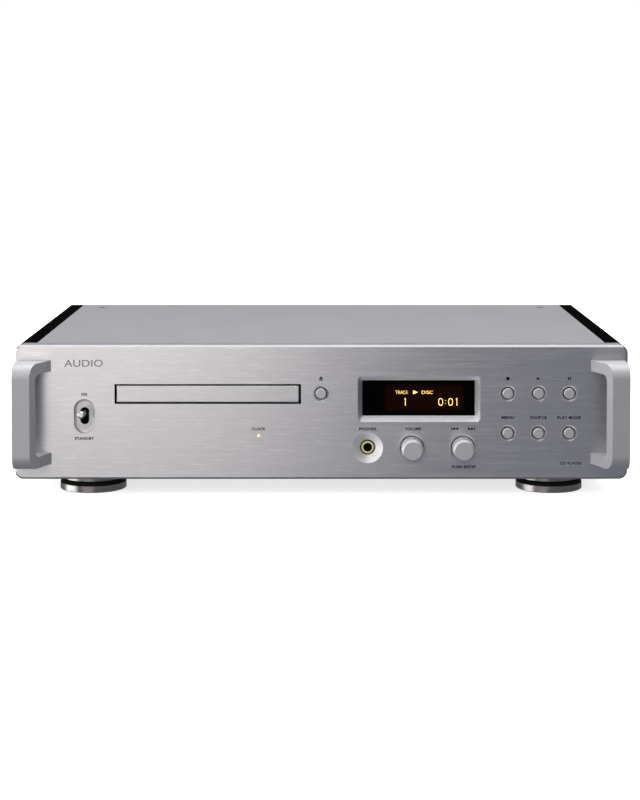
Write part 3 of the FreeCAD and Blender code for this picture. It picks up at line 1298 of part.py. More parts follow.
def drive_frame():
    """An open box with a floor, rails under and over the tray, and the gears' posts."""
    def about(half):
        return (f"tray_x-({half})", f"tray_x+{half}")

    shell = block("frame_shell", about("frame_half"), ("frame_front", "frame_rear"),
                  ("frame_low", "frame_high"))
    inside = block("frame_inside_space", about("frame_inside"),
                   ("frame_front+frame_end", "frame_rear-frame_end"), (FRAME_FLOOR, "frame_high+1"))
    channel = block("frame_channel", about("tray_half+tray_side_gap"),
                    ("frame_front-1", "frame_rear+1"), ("tray_low-slide_gap", "tray_high+slide_gap"))
    pivot = rod("frame_pivot_hole", "pivot_radius+pivot_fit", "tray_x-frame_inside-pivot_reach-1",
                "tray_x+frame_inside+pivot_reach+1", y="pivot_y", z="pivot_z", along=ALONG_X)
    rack_path = block("frame_rack_path", ("tray_x+rack_line-rack_room", "tray_x+frame_inside"),
                      ("frame_front-1", "frame_front+frame_end+1"), ("rack_low-slide_gap*2", "tray_low"))
    open_box = cut("frame_open_box", shell, inside, channel, pivot, rack_path)
    posts = []
    for name, x, seat in (("drive_gear", DRIVE_GEAR_X, "gear_low"), ("pulley", PULLEY_GEAR_X, "pulley_low")):
        posts.append(rod(f"{name}_post", "gear_post", FRAME_FLOOR, "gear_high", x=x, y="gear_y"))
        posts.append(rod(f"{name}_shoulder", "gear_post+shoulder_width", FRAME_FLOOR, f"{seat}-slide_gap",
                         x=x, y="gear_y"))
    return keep(fuse("drive_frame", open_box, *posts), "drive_frame")


def drive_posts():
    posts = []
    for x in ("tray_x-frame_half+post_inset", "tray_x+frame_half-post_inset"):
        for y in ("frame_front+post_inset", "frame_rear-post_inset"):
            posts.append(rod(f"drive_post_{len(posts) + 1}", "post_radius", FLOOR, "frame_low", x=x, y=y))
    return keep(group("drive_posts", posts), "drive_posts")


def loading_gears():
    """Two meshing gears: one drives the rack, one carries the belt pulley."""
    drive = gear("drive_gear", "gear_teeth", "gear_module", "gear_low", "gear_high", "gear_bore")
    place(drive, DRIVE_GEAR_X, "gear_y", "0")
    keep(drive, "drive_gear")
    half_pitch = math.pi / size("gear_teeth")
    wheel = gear("pulley_gear_teeth", "gear_teeth", "gear_module", "gear_low", "gear_high", "gear_bore",
                 half_pitch)
    pulley = grooved("belt_pulley", "pulley_radius", "pulley_groove", "gear_bore")
    neck = tube("pulley_neck", "gear_bore+neck_wall", "gear_bore", "pulley_high", "gear_low")
    compound = fuse("pulley_gear", wheel, pulley, neck)
    place(compound, PULLEY_GEAR_X, "gear_y", "0")
    return keep(compound, "pulley_gear")


def grooved(name, radius, groove, bore):
    """A belt pulley with a trapezium groove between two rims."""
    low_rim, high_rim = "pulley_low+pulley_rim", "pulley_high-pulley_rim"
    return turned(name, [(bore, "pulley_low"), (radius, "pulley_low"), (radius, low_rim),
                         (groove, f"{low_rim}+groove_slope"), (groove, f"{high_rim}-groove_slope"),
                         (radius, high_rim), (radius, "pulley_high"), (bore, "pulley_high")])


def loading_motor():
    can = rod("loading_can", "motor_radius", FRAME_FLOOR, "motor_top", x=MOTOR_X, y="gear_y")
    boss_top = "motor_top+motor_boss_height"
    boss = rod("loading_boss", "motor_boss", "motor_top", boss_top, x=MOTOR_X, y="gear_y")
    keep(fuse("loading_motor", can, boss), "loading_motor")
    wheel = grooved("motor_pulley_rim", "motor_pulley_radius", "motor_pulley_groove", "motor_shaft")
    spindle = rod("motor_spindle", "motor_shaft", f"{boss_top}+motor_gap", "pulley_high+motor_shaft")
    pulley = fuse("motor_pulley", wheel, spindle)
    place(pulley, MOTOR_X, "gear_y", "0")
    return keep(pulley, "motor_pulley")


def belt_face(big, small, distance):
    """The area inside a belt line round two circles, the small one at the origin."""
    lean = math.acos((big - small) / distance)
    across = Vector(distance, 0, 0)

    def rim(radius, angle, centre):
        return centre + Vector(radius * math.cos(angle), radius * math.sin(angle), 0)

    origin = Vector(0, 0, 0)
    turn = math.pi - lean
    top_small, top_big = rim(small, turn, origin), rim(big, turn, across)
    low_small, low_big = rim(small, -turn, origin), rim(big, -turn, across)
    edges = [Part.LineSegment(top_small, top_big).toShape(),
             Part.Arc(top_big, rim(big, 0, across), low_big).toShape(),
             Part.LineSegment(low_big, low_small).toShape(),
             Part.Arc(low_small, rim(small, math.pi, origin), top_small).toShape()]
    return Part.Face(Part.Wire(edges))


def drive_belt():
    """The belt between the two pulleys: a loop that no primitive fits."""
    distance = number(f"({PULLEY_GEAR_X})-({MOTOR_X})")
    gap, thick = size("belt_gap"), size("belt_thick")
    big, small = size("pulley_groove") + gap, size("motor_pulley_groove") + gap
    ring = belt_face(big + thick, small + thick, distance).cut(belt_face(big, small, distance))
    belt = doc.addObject("Part::Feature", "drive_belt")
    belt.Shape = ring.extrude(Vector(0, 0, size("belt_height")))
    place(belt, MOTOR_X, "gear_y", "belt_low")
    return keep(belt, "drive_belt")


def clamp():
    """The bridge over the tray, and the loose disc clamp that hangs in its hole."""
    bridge_top = "frame_high+sheet_thick"
    plate = block("bridge_plate", ("tray_x-frame_half", "tray_x+frame_half"),
                  ("disc_y-bridge_half", "disc_y+bridge_half"), ("frame_high", bridge_top))
    hole = rod("bridge_opening", "bridge_hole", "frame_high-1", f"{bridge_top}+1", x="tray_x", y="disc_y")
    keep(cut("clamp_bridge", plate, hole), "clamp_bridge")
    over = f"{bridge_top}+clamp_gap"
    top = f"{over}+clamp_thick"
    ceiling = "clamp_low+clamp_hollow"
    profile = [("clamp_mouth", "clamp_low"), ("clamp_radius", "clamp_low"), ("clamp_radius", over),
               ("clamp_flange", over), ("clamp_flange", top), ("0", top),
               ("0", ceiling), ("clamp_mouth", ceiling)]
    return keep(turned("disc_clamp", profile, "tray_x", "disc_y"), "disc_clamp")


TRAVERSE_TOP = "traverse_low+traverse_thick"
SLED_GEAR_X = "tray_x+sled_line+sled_module*sled_teeth/2"


def both_sides(name, radius, front, rear):
    """Two rods along Y on the guide rods' lines."""
    return [rod(f"{name}_{index}", radius, front, rear, x=f"tray_x{side}rod_x", z="rod_z", along=ALONG_Y)
            for index, side in enumerate("-+", start=1)]


def traverse_frame():
    """The plate that carries the spindle and the pickup, on two rear pivots."""
    pieces = [block("traverse_plate", ("tray_x-traverse_half", "tray_x+traverse_half"),
                    ("traverse_front", "traverse_rear"), ("traverse_low", TRAVERSE_TOP))]
    for name, side in (("left", -1), ("right", 1)):
        inner = f"({side})*boss_inner"
        boss_end, pin_end = f"({side})*traverse_half", f"({side})*(frame_inside+pivot_reach)"
        boss_x = [f"tray_x+{x}" for x in sorted((inner, boss_end), key=number)]
        pin_x = [f"tray_x+{x}" for x in sorted((inner, pin_end), key=number)]
        pieces.append(block(f"pivot_boss_{name}", boss_x, ("pivot_y-boss_half", "pivot_y+boss_half"),
                            (TRAVERSE_TOP, "pivot_z+boss_over")))
        pieces.append(rod(f"pivot_pin_{name}", "pivot_radius", *pin_x, y="pivot_y", z="pivot_z",
                          along=ALONG_X))
        middle = f"tray_x+({side})*rod_x"
        for end, y in (("front", "rod_front"), ("rear", "rod_rear-rod_support")):
            pieces.append(block(f"rod_support_{name}_{end}", (f"{middle}-rod_cheek", f"{middle}+rod_cheek"),
                                (y, f"{y}+rod_support"), (TRAVERSE_TOP, "rod_z+rod_over")))
    bores = both_sides("rod_seat", "rod_radius", "rod_front", "rod_rear")
    bores.append(rod("sled_shaft_hole", "motor_shaft+sled_shaft_room", "traverse_low-1", f"{TRAVERSE_TOP}+1",
                     x=SLED_GEAR_X, y="sled_gear_y"))
    return keep(cut("traverse_frame", fuse("traverse_solid", *pieces), *bores), "traverse_frame")


def guide_rods():
    return keep(group("guide_rods", both_sides("guide_rod", "rod_radius", "rod_front", "rod_rear")),
                "guide_rods")


def spindle():
    """The spindle motor, and the turntable that turns with its shaft."""
    motor = tube("spindle_motor", "spindle_radius", "spindle_shaft+spindle_gap", TRAVERSE_TOP, "spindle_top",
                 x="tray_x", y="disc_y")
    keep(motor, "spindle_motor")
    shaft_end = f"{TRAVERSE_TOP}+spindle_foot"
    hub_low = "spindle_top+turntable_gap"
    plate_low = "turntable_seat-turntable_thick"
    profile = [("0", shaft_end), ("spindle_shaft", shaft_end), ("spindle_shaft", hub_low),
               ("turntable_boss", hub_low), ("turntable_boss", plate_low), ("turntable_radius", plate_low),
               ("turntable_radius", "turntable_seat"), ("turntable_hub", "turntable_seat"),
               ("turntable_hub-turntable_taper", "turntable_top"), ("0", "turntable_top")]
    return keep(turned("turntable", profile, "tray_x", "disc_y"), "turntable")


def pickup():
    """The optical pickup: a block on two rods, a lens holder, and a side rack."""
    along = ("pickup_front", "pickup_rear")
    body = block("pickup_block", ("tray_x-pickup_half", "tray_x+pickup_half"), along,
                 ("pickup_low", "pickup_high"))
    lens = rod("lens_holder", "lens_radius", "pickup_high", "lens_top", x="tray_x", y="lens_y")
    bores = both_sides("pickup_bore", "rod_radius+rod_fit", "pickup_front-1", "pickup_rear+1")
    rack_back = size("pickup_half") - size("sled_line") + size("sled_rack_gap")
    teeth = rack("sled_rack", size("sled_module"), size("sled_gear_y"), size("pickup_front"),
                 size("sled_rack_rear"), size("sled_low"), size("sled_high"), rack_back, 1)
    place(teeth, "tray_x+sled_line", "0", "0")
    bridge = block("sled_bridge", ("tray_x+pickup_half-sled_rack_gap", "tray_x+sled_line-1.5*sled_module"),
                   along, ("sled_low", "sled_high"))
    solid = fuse("pickup_solid", body, lens, bridge, teeth)
    return keep(cut("pickup", solid, *bores), "pickup")


def sled_drive():
    """The sled motor under the traverse, and the gear that drives the pickup's rack."""
    spot = {"x": SLED_GEAR_X, "y": "sled_gear_y"}
    keep(rod("sled_motor", "sled_motor_radius", "sled_motor_low", "traverse_low", **spot), "sled_motor")
    wheel = gear("sled_wheel", "sled_teeth", "sled_module", "sled_low", "sled_high", "motor_shaft", math.pi)
    axle = rod("sled_axle", "motor_shaft", "traverse_low+motor_gap", "sled_high")
    sled_gear = fuse("sled_gear", wheel, axle)
    place(sled_gear, SLED_GEAR_X, "sled_gear_y", "0")
    return keep(sled_gear, "sled_gear")


# ---- power supply and audio boards ------------------------------------------------

def transformer():
    """A toroidal transformer on a rubber pad, under a dished plate and one bolt."""
    spot = {"x": "transformer_x", "y": "transformer_y"}
    inner, outer = "transformer_hole+winding_edge", "transformer_radius-winding_edge"
    low_edge, high_edge = "transformer_low+winding_edge", "transformer_high-winding_edge"
    winding = [("transformer_hole", low_edge), (inner, "transformer_low"), (outer, "transformer_low"),
               ("transformer_radius", low_edge), ("transformer_radius", high_edge),
               (outer, "transformer_high"), (inner, "transformer_high"), ("transformer_hole", high_edge)]
    plate_top = "transformer_high+plate_thick"
    solids = [
        turned("transformer_winding", winding, **spot),
        tube("transformer_pad", "pad_radius", "bolt_radius", FLOOR, "transformer_low", **spot),
        tube("transformer_plate", "plate_radius", "bolt_radius", "transformer_high", plate_top, **spot),
        rod("transformer_bolt", "bolt_radius", FLOOR, "bolt_top", **spot),
    ]
    return keep(group("transformer", solids), "transformer")


BOARD_TOP = "board_low+board_thick"


def flat_board(name):
    """A board on four standoffs, placed by the dimensions that start with its name."""
    x, y = (f"{name}_left", f"{name}_right"), (f"{name}_front", f"{name}_rear")
    solids = [block(f"{name}_sheet", x, y, ("board_low", BOARD_TOP))]
    for corner_x in (f"{x[0]}+standoff_inset", f"{x[1]}-standoff_inset"):
        for corner_y in (f"{y[0]}+standoff_inset", f"{y[1]}-standoff_inset"):
            solids.append(rod(f"{name}_standoff_{len(solids)}", "standoff_radius", FLOOR, "board_low",
                              x=corner_x, y=corner_y))
    return solids


def power_board():
    """Rectifier and smoothing: a board, six capacitors and a heat sink."""
    solids = flat_board("power")
    for column in range(2):
        for row in range(3):
            solids.append(rod(f"capacitor_{column}_{row}", "capacitor_radius", BOARD_TOP, "capacitor_top",
                              x=f"capacitor_x+{column}*capacitor_pitch",
                              y=f"capacitor_y+{row}*capacitor_pitch"))
    solids.append(block("heat_sink", ("power_left+sink_inset", "power_right-sink_inset"),
                        ("sink_front", "sink_front+sink_thick"), (BOARD_TOP, "capacitor_top")))
    return keep(group("power_board", solids), "power_board")


def audio_board():
    """The converter and output stage, with its chips and coupling capacitors."""
    solids = flat_board("audio")
    for index in range(6):
        x = f"chip_x+{index}*chip_pitch"
        solids.append(block(f"chip_{index}", (x, f"{x}+chip_size"), ("chip_y", "chip_y+chip_size"),
                            (BOARD_TOP, f"{BOARD_TOP}+chip_thick")))
    for index in range(8):
        solids.append(rod(f"coupling_{index}", "coupling_radius", BOARD_TOP, "coupling_top",
                          x=f"coupling_x+{index}*coupling_pitch", y="coupling_y"))
    return keep(group("audio_board", solids), "audio_board")


# ---- build and write ----------------------------------------------------------------

def build():
    front_panel()
    handle("handle_left", "-")
    handle("handle_right", "")
    handle_screws()
    top_cover()
    cover_screws()
    side_panel("side_panel_left", "-case_half", f"-({SIDE_INSIDE})")
    side_panel("side_panel_right", SIDE_INSIDE, "case_half")
    bottom_plate()
    feet()
    rear_panel()
    mains_inlet()
    rear_sockets()
    sub_panel()
    buttons()
    knob("volume_knob", "volume_x")
    shaft("volume_shaft", "volume_x")
    encoder("volume_encoder", "volume_x", has_rotor=False)
    knob("skip_knob", "skip_x")
    shaft("skip_shaft", "skip_x")
    encoder("skip_encoder", "skip_x", has_rotor=True)
    skip_rotor()
    headphone_jack()
    toggle()
    display()
    clock_led()
    control_boards()
    tray_door()
    disc_tray()
    drive_frame()
    drive_posts()
    loading_gears()
    loading_motor()
    drive_belt()
    clamp()
    traverse_frame()
    guide_rods()
    spindle()
    pickup()
    sled_drive()
    transformer()
    power_board()
    audio_board()
    doc.recompute()


def check():
    """Stop if any object failed, or if a sub-part has no valid solid."""
    for item in doc.Objects:
        if {"Invalid", "Error"} & set(item.State):
            raise RuntimeError(f"{item.Label} is {item.State}")
    for item in sub_parts:
        if item.Shape.isNull() or not item.Shape.isValid() or not item.Shape.Solids:
            raise RuntimeError(f"{item.Label} has no valid shape")


def write():
    os.makedirs("parts", exist_ok=True)
    for item in sub_parts:
        item.Shape.exportStep(f"parts/{item.Label}.step")
    print(len(sub_parts), "sub-parts written")


build()
check()
write()
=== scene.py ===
"""Looks of a full-width hi-fi CD player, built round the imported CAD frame.

Everything is in metres, with +Z up and the front towards -Y.
"""
import json
import math

import bpy
import bmesh
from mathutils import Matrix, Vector


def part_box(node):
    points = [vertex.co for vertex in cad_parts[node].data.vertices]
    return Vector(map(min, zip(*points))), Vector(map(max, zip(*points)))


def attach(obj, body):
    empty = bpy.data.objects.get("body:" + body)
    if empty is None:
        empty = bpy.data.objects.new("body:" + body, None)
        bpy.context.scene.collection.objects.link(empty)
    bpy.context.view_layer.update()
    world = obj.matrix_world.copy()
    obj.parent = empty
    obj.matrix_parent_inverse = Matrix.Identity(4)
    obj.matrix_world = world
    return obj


MM = 0.001
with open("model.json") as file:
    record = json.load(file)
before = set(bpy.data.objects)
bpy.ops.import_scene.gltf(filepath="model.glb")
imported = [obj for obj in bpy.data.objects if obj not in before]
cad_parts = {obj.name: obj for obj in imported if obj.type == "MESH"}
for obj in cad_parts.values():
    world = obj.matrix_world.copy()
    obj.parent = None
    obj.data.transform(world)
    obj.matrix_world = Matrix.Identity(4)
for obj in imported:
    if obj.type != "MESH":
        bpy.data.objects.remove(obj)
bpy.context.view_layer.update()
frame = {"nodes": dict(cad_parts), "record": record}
NODES = frame["nodes"]

ROOT = "case"
PANEL_LOW, PANEL_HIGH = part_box("front_panel")
PANEL_FRONT = PANEL_LOW.y

# the brushing on the panel: noise cells a metre along X, Y and Z
BRUSHING = (22, 500, 1500)
SPARSE_BRUSHING = (75, 500, 1100)
SPARSE_OFFSET = (0.31, 0.17, 0.05)
NOISE_ROUGHNESS = 0.55

# where the panel's outer rim starts and is full, measured in from its outline
RIM_START, RIM_FULL = 4 * MM, 3 * MM
# how far behind the panel's front the floor of a dish starts and is full
SUNK_START, SUNK_FULL = 1.5 * MM, 2.5 * MM
# painted shade: how much of the panel's colour is left down a hole and on a dish's floor, where
# shade falls, and on the outer rim, to dim its highlights
PAINTED_HOLE_SHADE, PAINTED_DISH_SHADE, PAINTED_RIM_SHADE = 0.03, 0.78, 0.66

# the lit part of the display: its shift to the right, half its size, and its soft edge
LIT_SHIFT = 4 * MM
LIT_HALF = (30 * MM, 11 * MM)
LIT_EDGE = (4 * MM, 3 * MM)

PRINT_HEIGHT = 0.05 * MM
OVAL_STEPS = 40
LATHE_SIDES = 32


def centre(node):
    """The middle of a CAD node's box at rest."""
    low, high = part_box(node)
    return (low + high) / 2


# ---- material building blocks ------------------------------------------------

class Shader:
    """A node material with one Principled shader and short helpers."""

    def __init__(self, name, color, metallic=0.0, roughness=0.5):
        self.material = bpy.data.materials.new(name)
        self.material.use_nodes = True
        self.tree = self.material.node_tree
        self.shader = self.tree.nodes["Principled BSDF"]
        self.set("Base Color", (*color, 1.0))
        self.set("Metallic", metallic)
        self.set("Roughness", roughness)
        self.color = color
        self.roughness = roughness
        self.normal = None

    def set(self, socket, value):
        self.shader.inputs[socket].default_value = value

    def node(self, kind, **values):
        """A new node; each value sets an attribute or, if there is none, an input socket."""
        item = self.tree.nodes.new(kind)
        for key, value in values.items():
            if hasattr(item, key):
                setattr(item, key, value)
            else:
                item.inputs[key.replace("_", " ")].default_value = value
        return item

    def link(self, output, target):
        self.tree.links.new(output, target)

    def place(self, scale=(1, 1, 1), offset=(0, 0, 0)):
        """Row-frame coordinates, shifted by -offset and then scaled."""
        coordinates = self.node("ShaderNodeTexCoord")
        shift = self.node("ShaderNodeVectorMath", operation="SUBTRACT")
        shift.inputs[1].default_value = offset
        stretch = self.node("ShaderNodeVectorMath", operation="MULTIPLY")
        stretch.inputs[1].default_value = scale
        self.link(coordinates.outputs["Object"], shift.inputs[0])
        self.link(shift.outputs[0], stretch.inputs[0])
        return stretch.outputs[0]

    def noise(self, vector, scale=1.0, detail=3.0):
        item = self.node("ShaderNodeTexNoise", Scale=scale, Detail=detail)
        item.inputs["Roughness"].default_value = NOISE_ROUGHNESS
        self.link(vector, item.inputs["Vector"])
        return item.outputs["Fac"]

    def ranged(self, value, low, high, from_low=0.3, from_high=0.7):
        item = self.node("ShaderNodeMapRange")
        self.link(value, item.inputs["Value"])
        item.inputs["From Min"].default_value = from_low
        item.inputs["From Max"].default_value = from_high
        item.inputs["To Min"].default_value = low
        item.inputs["To Max"].default_value = high
        return item.outputs["Result"]

    def tint(self, value, low, high):
        """The base colour, multiplied by a factor that follows value."""
        dark, light = ([channel * factor for channel in self.color] for factor in (low, high))
        blend = self.mix(self.ranged(value, 0.0, 1.0), dark, light)
        self.link(blend, self.shader.inputs["Base Color"])

    def math(self, operation, first, second):
        """A Math node between an output and another output or a number."""
        item = self.node("ShaderNodeMath", operation=operation)
        self.link(first, item.inputs[0])
        if isinstance(second, float):
            item.inputs[1].default_value = second
        else:
            self.link(second, item.inputs[1])
        return item.outputs[0]

    def mix(self, factor, first, second):
        """A blend from one colour to another."""
        item = self.node("ShaderNodeMix", data_type="RGBA")
        self.link(factor, item.inputs["Factor"])
        item.inputs["A"].default_value = (*first, 1.0)
        item.inputs["B"].default_value = (*second, 1.0)
        return item.outputs["Result"]

    def axis(self, vector, letter):
        """One component of a vector output."""
        item = self.node("ShaderNodeSeparateXYZ")
        self.link(vector, item.inputs[0])
        return item.outputs[letter]

    def behind(self, y):
        """How far a point lies behind the plane at y."""
        return self.axis(self.place(offset=(0, y, 0)), "Y")

    def within(self, middle, fades):
        """1 inside a rectangle round middle and 0 outside it: fades has (from, to) in X and Z."""
        away = self.node("ShaderNodeVectorMath", operation="ABSOLUTE")
        self.link(self.place(offset=middle), away.inputs[0])
        across, up = (self.ranged(self.axis(away.outputs[0], letter), 1.0, 0.0, start, end)
                      for letter, (start, end) in zip("XZ", fades))
        return self.math("MULTIPLY", across, up)

    def scaled(self, color, factor):
        """A colour multiplied by a factor."""
        item = self.node("ShaderNodeVectorMath", operation="SCALE")
        self.link(color, item.inputs[0])
        self.link(factor, item.inputs["Scale"])
        return item.outputs[0]

    def vary_roughness(self, value, spread):
        result = self.ranged(value, self.roughness - spread, self.roughness + spread)
        self.link(result, self.shader.inputs["Roughness"])

    def bump(self, value, height, strength):
        """Raise the surface by value times height, in metres, on top of earlier bumps."""
        item = self.node("ShaderNodeBump", Strength=strength, Distance=height)
        self.link(value, item.inputs["Height"])
        if self.normal is not None:
            self.link(self.normal, item.inputs["Normal"])
        self.normal = item.outputs["Normal"]
        self.link(self.normal, self.shader.inputs["Normal"])

    def stretch_gloss(self, direction, anisotropy):
        """Draw highlights out along one axis, as a grain at right angles to it does."""
        tangent = self.node("ShaderNodeCombineXYZ")
        for index, part in enumerate(direction):
            tangent.inputs[index].default_value = part
        self.link(tangent.outputs[0], self.shader.inputs["Tangent"])
        self.set("Anisotropic", anisotropy)


def brushed_metal(name, color, roughness, anisotropy):
    """Straight brushing along X: long fine streaks in colour, gloss and height."""
    look = Shader(name, color, 1.0, roughness)
    fine = look.noise(look.place(BRUSHING), detail=4.0)
    look.tint(fine, 0.94, 1.05)
    look.vary_roughness(fine, 0.05)
    look.bump(fine, 0.00002, 0.35)
    look.stretch_gloss((0, 0, 1), anisotropy)
    return look.material


def front_metal(name, color, roughness, edge_color, edge_roughness):
    """Brushed along X where it looks forwards, satin on every bevel, and painted shade that darkens
    every hole, the dish floors and the outer rim.
    """
    look = Shader(name, color, 1.0, roughness)
    fine = look.noise(look.place(BRUSHING), detail=4.0)
    sparse = look.noise(look.place(SPARSE_BRUSHING, SPARSE_OFFSET), detail=2.0)
    streaks = look.ranged(sparse, 0.0, 1.0, 0.54, 0.72)
    grain = look.math("ADD", look.math("MULTIPLY", fine, 0.6), look.math("MULTIPLY", streaks, 0.4))
    light = look.ranged(grain, 0.93, 1.12, 0.15, 0.65)

    # masks for what lies inside the outline, looks away from the front, lines a hole,
    # is a bevel, is the floor of a dish, and is the outer rim
    reach = (PANEL_HIGH - PANEL_LOW) / 2
    fades = [(size - RIM_START, size - RIM_FULL) for size in (reach.x, reach.z)]
    inside = look.within((PANEL_LOW + PANEL_HIGH) / 2, fades)
    facing = look.axis(look.node("ShaderNodeNewGeometry").outputs["True Normal"], "Y")
    turned = look.ranged(facing, 0.0, 1.0, -0.995, -0.97)
    wall = look.math("MULTIPLY", look.ranged(facing, 0.0, 1.0, -0.2, -0.1), inside)
    bevel = look.math("MULTIPLY", look.math("SUBTRACT", turned, wall), inside)
    deep = look.ranged(look.behind(PANEL_FRONT), 0.0, 1.0, SUNK_START, SUNK_FULL)
    level = look.ranged(turned, 1.0, 0.0, 0.0, 1.0)
    sunk = look.math("MULTIPLY", look.math("MULTIPLY", deep, inside), level)
    rim = look.math("MULTIPLY", turned, look.ranged(inside, 1.0, 0.0, 0.0, 1.0))

    # painted shade: darken the colour down holes and on dish floors, where shade falls, and on the
    # outer rim, in place of dimmer light there
    for mask, tone in ((wall, PAINTED_HOLE_SHADE), (sunk, PAINTED_DISH_SHADE), (rim, PAINTED_RIM_SHADE)):
        light = look.math("MULTIPLY", light, look.ranged(mask, 1.0, tone, 0.0, 1.0))
    shaded = look.scaled(look.mix(bevel, color, edge_color), light)
    look.link(shaded, look.shader.inputs["Base Color"])
    gloss = look.node("ShaderNodeMix", data_type="FLOAT")
    look.link(bevel, gloss.inputs["Factor"])
    look.link(look.ranged(fine, roughness - 0.05, roughness + 0.05), gloss.inputs["A"])
    gloss.inputs["B"].default_value = edge_roughness
    look.link(gloss.outputs["Result"], look.shader.inputs["Roughness"])
    look.bump(grain, 0.00002, 0.3)
    look.stretch_gloss((0, 0, 1), 0.6)
    return look.material


def satin_metal(name, color, roughness):
    """Bead-blasted and anodised metal: a fine even grain, and slow changes of gloss."""
    look = Shader(name, color, 1.0, roughness)
    grains = look.noise(look.place(), scale=2500.0, detail=2.0)
    patches = look.noise(look.place(), scale=30.0, detail=3.0)
    look.tint(patches, 0.985, 1.015)
    look.vary_roughness(patches, 0.008)
    look.bump(grains, 0.000008, 0.5)
    return look.material


def moulded(name, color, roughness, specular=0.5):
    """Moulded plastic, coated steel or rubber: a fine leathery grain."""
    look = Shader(name, color, 0.0, roughness)
    look.set("Specular IOR Level", specular)
    grains = look.noise(look.place(), scale=1800.0, detail=3.0)
    patches = look.noise(look.place(), scale=45.0, detail=2.0)
    look.tint(patches, 0.9, 1.1)
    look.vary_roughness(grains, 0.06)
    look.bump(grains, 0.00003, 0.6)
    return look.material


def polished(name, color, metallic, roughness):
    """A polished surface with the faintest waviness."""
    look = Shader(name, color, metallic, roughness)
    waves = look.noise(look.place(), scale=120.0, detail=2.0)
    look.tint(waves, 0.97, 1.02)
    look.vary_roughness(waves, roughness * 0.25)
    look.bump(waves, 0.00001, 0.2)
    return look.material


def plug_sleeve(name, color, roughness, node, lip):
    """Plated metal on a sleeve's front lip, and painted shade down its bore: near-black metal past
    the lip.
    """
    look = Shader(name, color, 1.0, roughness)
    lit = look.ranged(look.behind(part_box(node)[0].y), 1.0, 0.0, lip, 1.5 * lip)
    # painted shade: past the lip the bore is near-black metal, standing in for the shade down the
    # hole
    tone = look.mix(lit, (0.004, 0.004, 0.004), color)
    look.link(tone, look.shader.inputs["Base Color"])
    waves = look.noise(look.place(), scale=400.0, detail=2.0)
    look.vary_roughness(waves, 0.04)
    return look.material


def socket_metal(name, color, roughness, collar):
    """Plated metal on the sockets' barrels, black on what stays within collar of the rear panel."""
    look = Shader(name, color, 1.0, roughness)
    barrel = look.ranged(look.behind(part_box("rear_panel")[1].y), 0.0, 1.0, collar, 1.1 * collar)
    look.link(look.mix(barrel, (0.012, 0.012, 0.013), color), look.shader.inputs["Base Color"])
    look.link(barrel, look.shader.inputs["Metallic"])
    waves = look.noise(look.place(), scale=400.0, detail=2.0)
    look.vary_roughness(waves, 0.04)
    return look.material


def lit_window(name):
    """A near-black window that glows faintly brown where the display behind it is lit."""
    look = Shader(name, (0.0004, 0.0004, 0.0004), 0.0, 0.08)
    look.set("Specular IOR Level", 0.012)
    middle = centre("display_module") + Vector((LIT_SHIFT, 0, 0))
    fades = [(half - edge, half) for half, edge in zip(LIT_HALF, LIT_EDGE)]
    look.link(look.within(middle, fades), look.shader.inputs["Emission Strength"])
    look.set("Emission Color", (0.0068, 0.0013, 0.0005, 1.0))
    waves = look.noise(look.place(), scale=120.0, detail=2.0)
    look.vary_roughness(waves, 0.02)
    return look.material


def glowing(name, color, strength):
    """A lit segment or lamp, with slightly uneven brightness."""
    look = Shader(name, color, 0.0, 0.4)
    uneven = look.noise(look.place(), scale=900.0, detail=1.0)
    look.tint(uneven, 0.9, 1.1)
    look.set("Emission Color", (*color, 1.0))
    look.set("Emission Strength", strength)
    return look.material


def circuit_board(name):
    """Green solder mask with lighter copper tracks under it."""
    look = Shader(name, (0.02, 0.12, 0.05), 0.0, 0.35)
    cells = look.node("ShaderNodeTexVoronoi", feature="DISTANCE_TO_EDGE", Scale=220.0)
    look.link(look.place(), cells.inputs["Vector"])
    look.tint(cells.outputs["Distance"], 2.2, 0.8)
    look.bump(cells.outputs["Distance"], 0.00005, 0.4)
    return look.material


# ---- the object's materials ----------------------------------------------------

JACK_LIP = 0.8 * MM
SOCKET_COLLAR = 3 * MM

panel_metal = front_metal("brushed_panel", (0.62, 0.62, 0.635), 0.34, (0.95, 0.95, 0.96), 0.66)
cover_metal = satin_metal("satin_cover", (0.495, 0.49, 0.49), 0.43)
handle_metal = satin_metal("satin_handle", (0.61, 0.61, 0.62), 0.72)
button_metal = satin_metal("satin_button", (0.66, 0.66, 0.68), 0.6)
knob_metal = satin_metal("satin_knob", (0.66, 0.66, 0.68), 0.6)
foot_metal = polished("dark_nickel", (0.32, 0.305, 0.29), 1.0, 0.3)
chrome = polished("polished_chrome", (0.38, 0.38, 0.39), 1.0, 0.22)
gold = polished("gold_plate", (1.0, 0.9, 0.34), 1.0, 0.42)
plated_steel = brushed_metal("plated_steel", (0.5, 0.5, 0.51), 0.38, anisotropy=0.3)
motor_steel = polished("motor_can", (0.5, 0.5, 0.5), 1.0, 0.3)
side_black = moulded("side_black", (0.002, 0.002, 0.0022), 0.7, specular=0.0)
coated_steel = moulded("coated_steel", (0.02, 0.02, 0.021), 0.5)
black_plastic = moulded("black_plastic", (0.012, 0.012, 0.012), 0.5)
tray_plastic = moulded("tray_plastic", (0.02, 0.02, 0.022), 0.42)
frame_plastic = moulded("frame_plastic", (0.04, 0.04, 0.043), 0.55)
gear_plastic = moulded("gear_plastic", (0.75, 0.74, 0.68), 0.45)
rubber = moulded("rubber", (0.003, 0.003, 0.003), 0.7, specular=0.08)
window_black = lit_window("window_black")
display_glass = polished("display_glass", (0.01, 0.01, 0.012), 0.0, 0.1)
board_green = circuit_board("circuit_board")
winding = moulded("winding_tape", (0.16, 0.08, 0.02), 0.4)
screw_metal = polished("screw_steel", (0.2, 0.2, 0.2), 1.0, 0.32)
print_ink = moulded("print_ink", (0.003, 0.003, 0.0035), 0.7, specular=0.0)
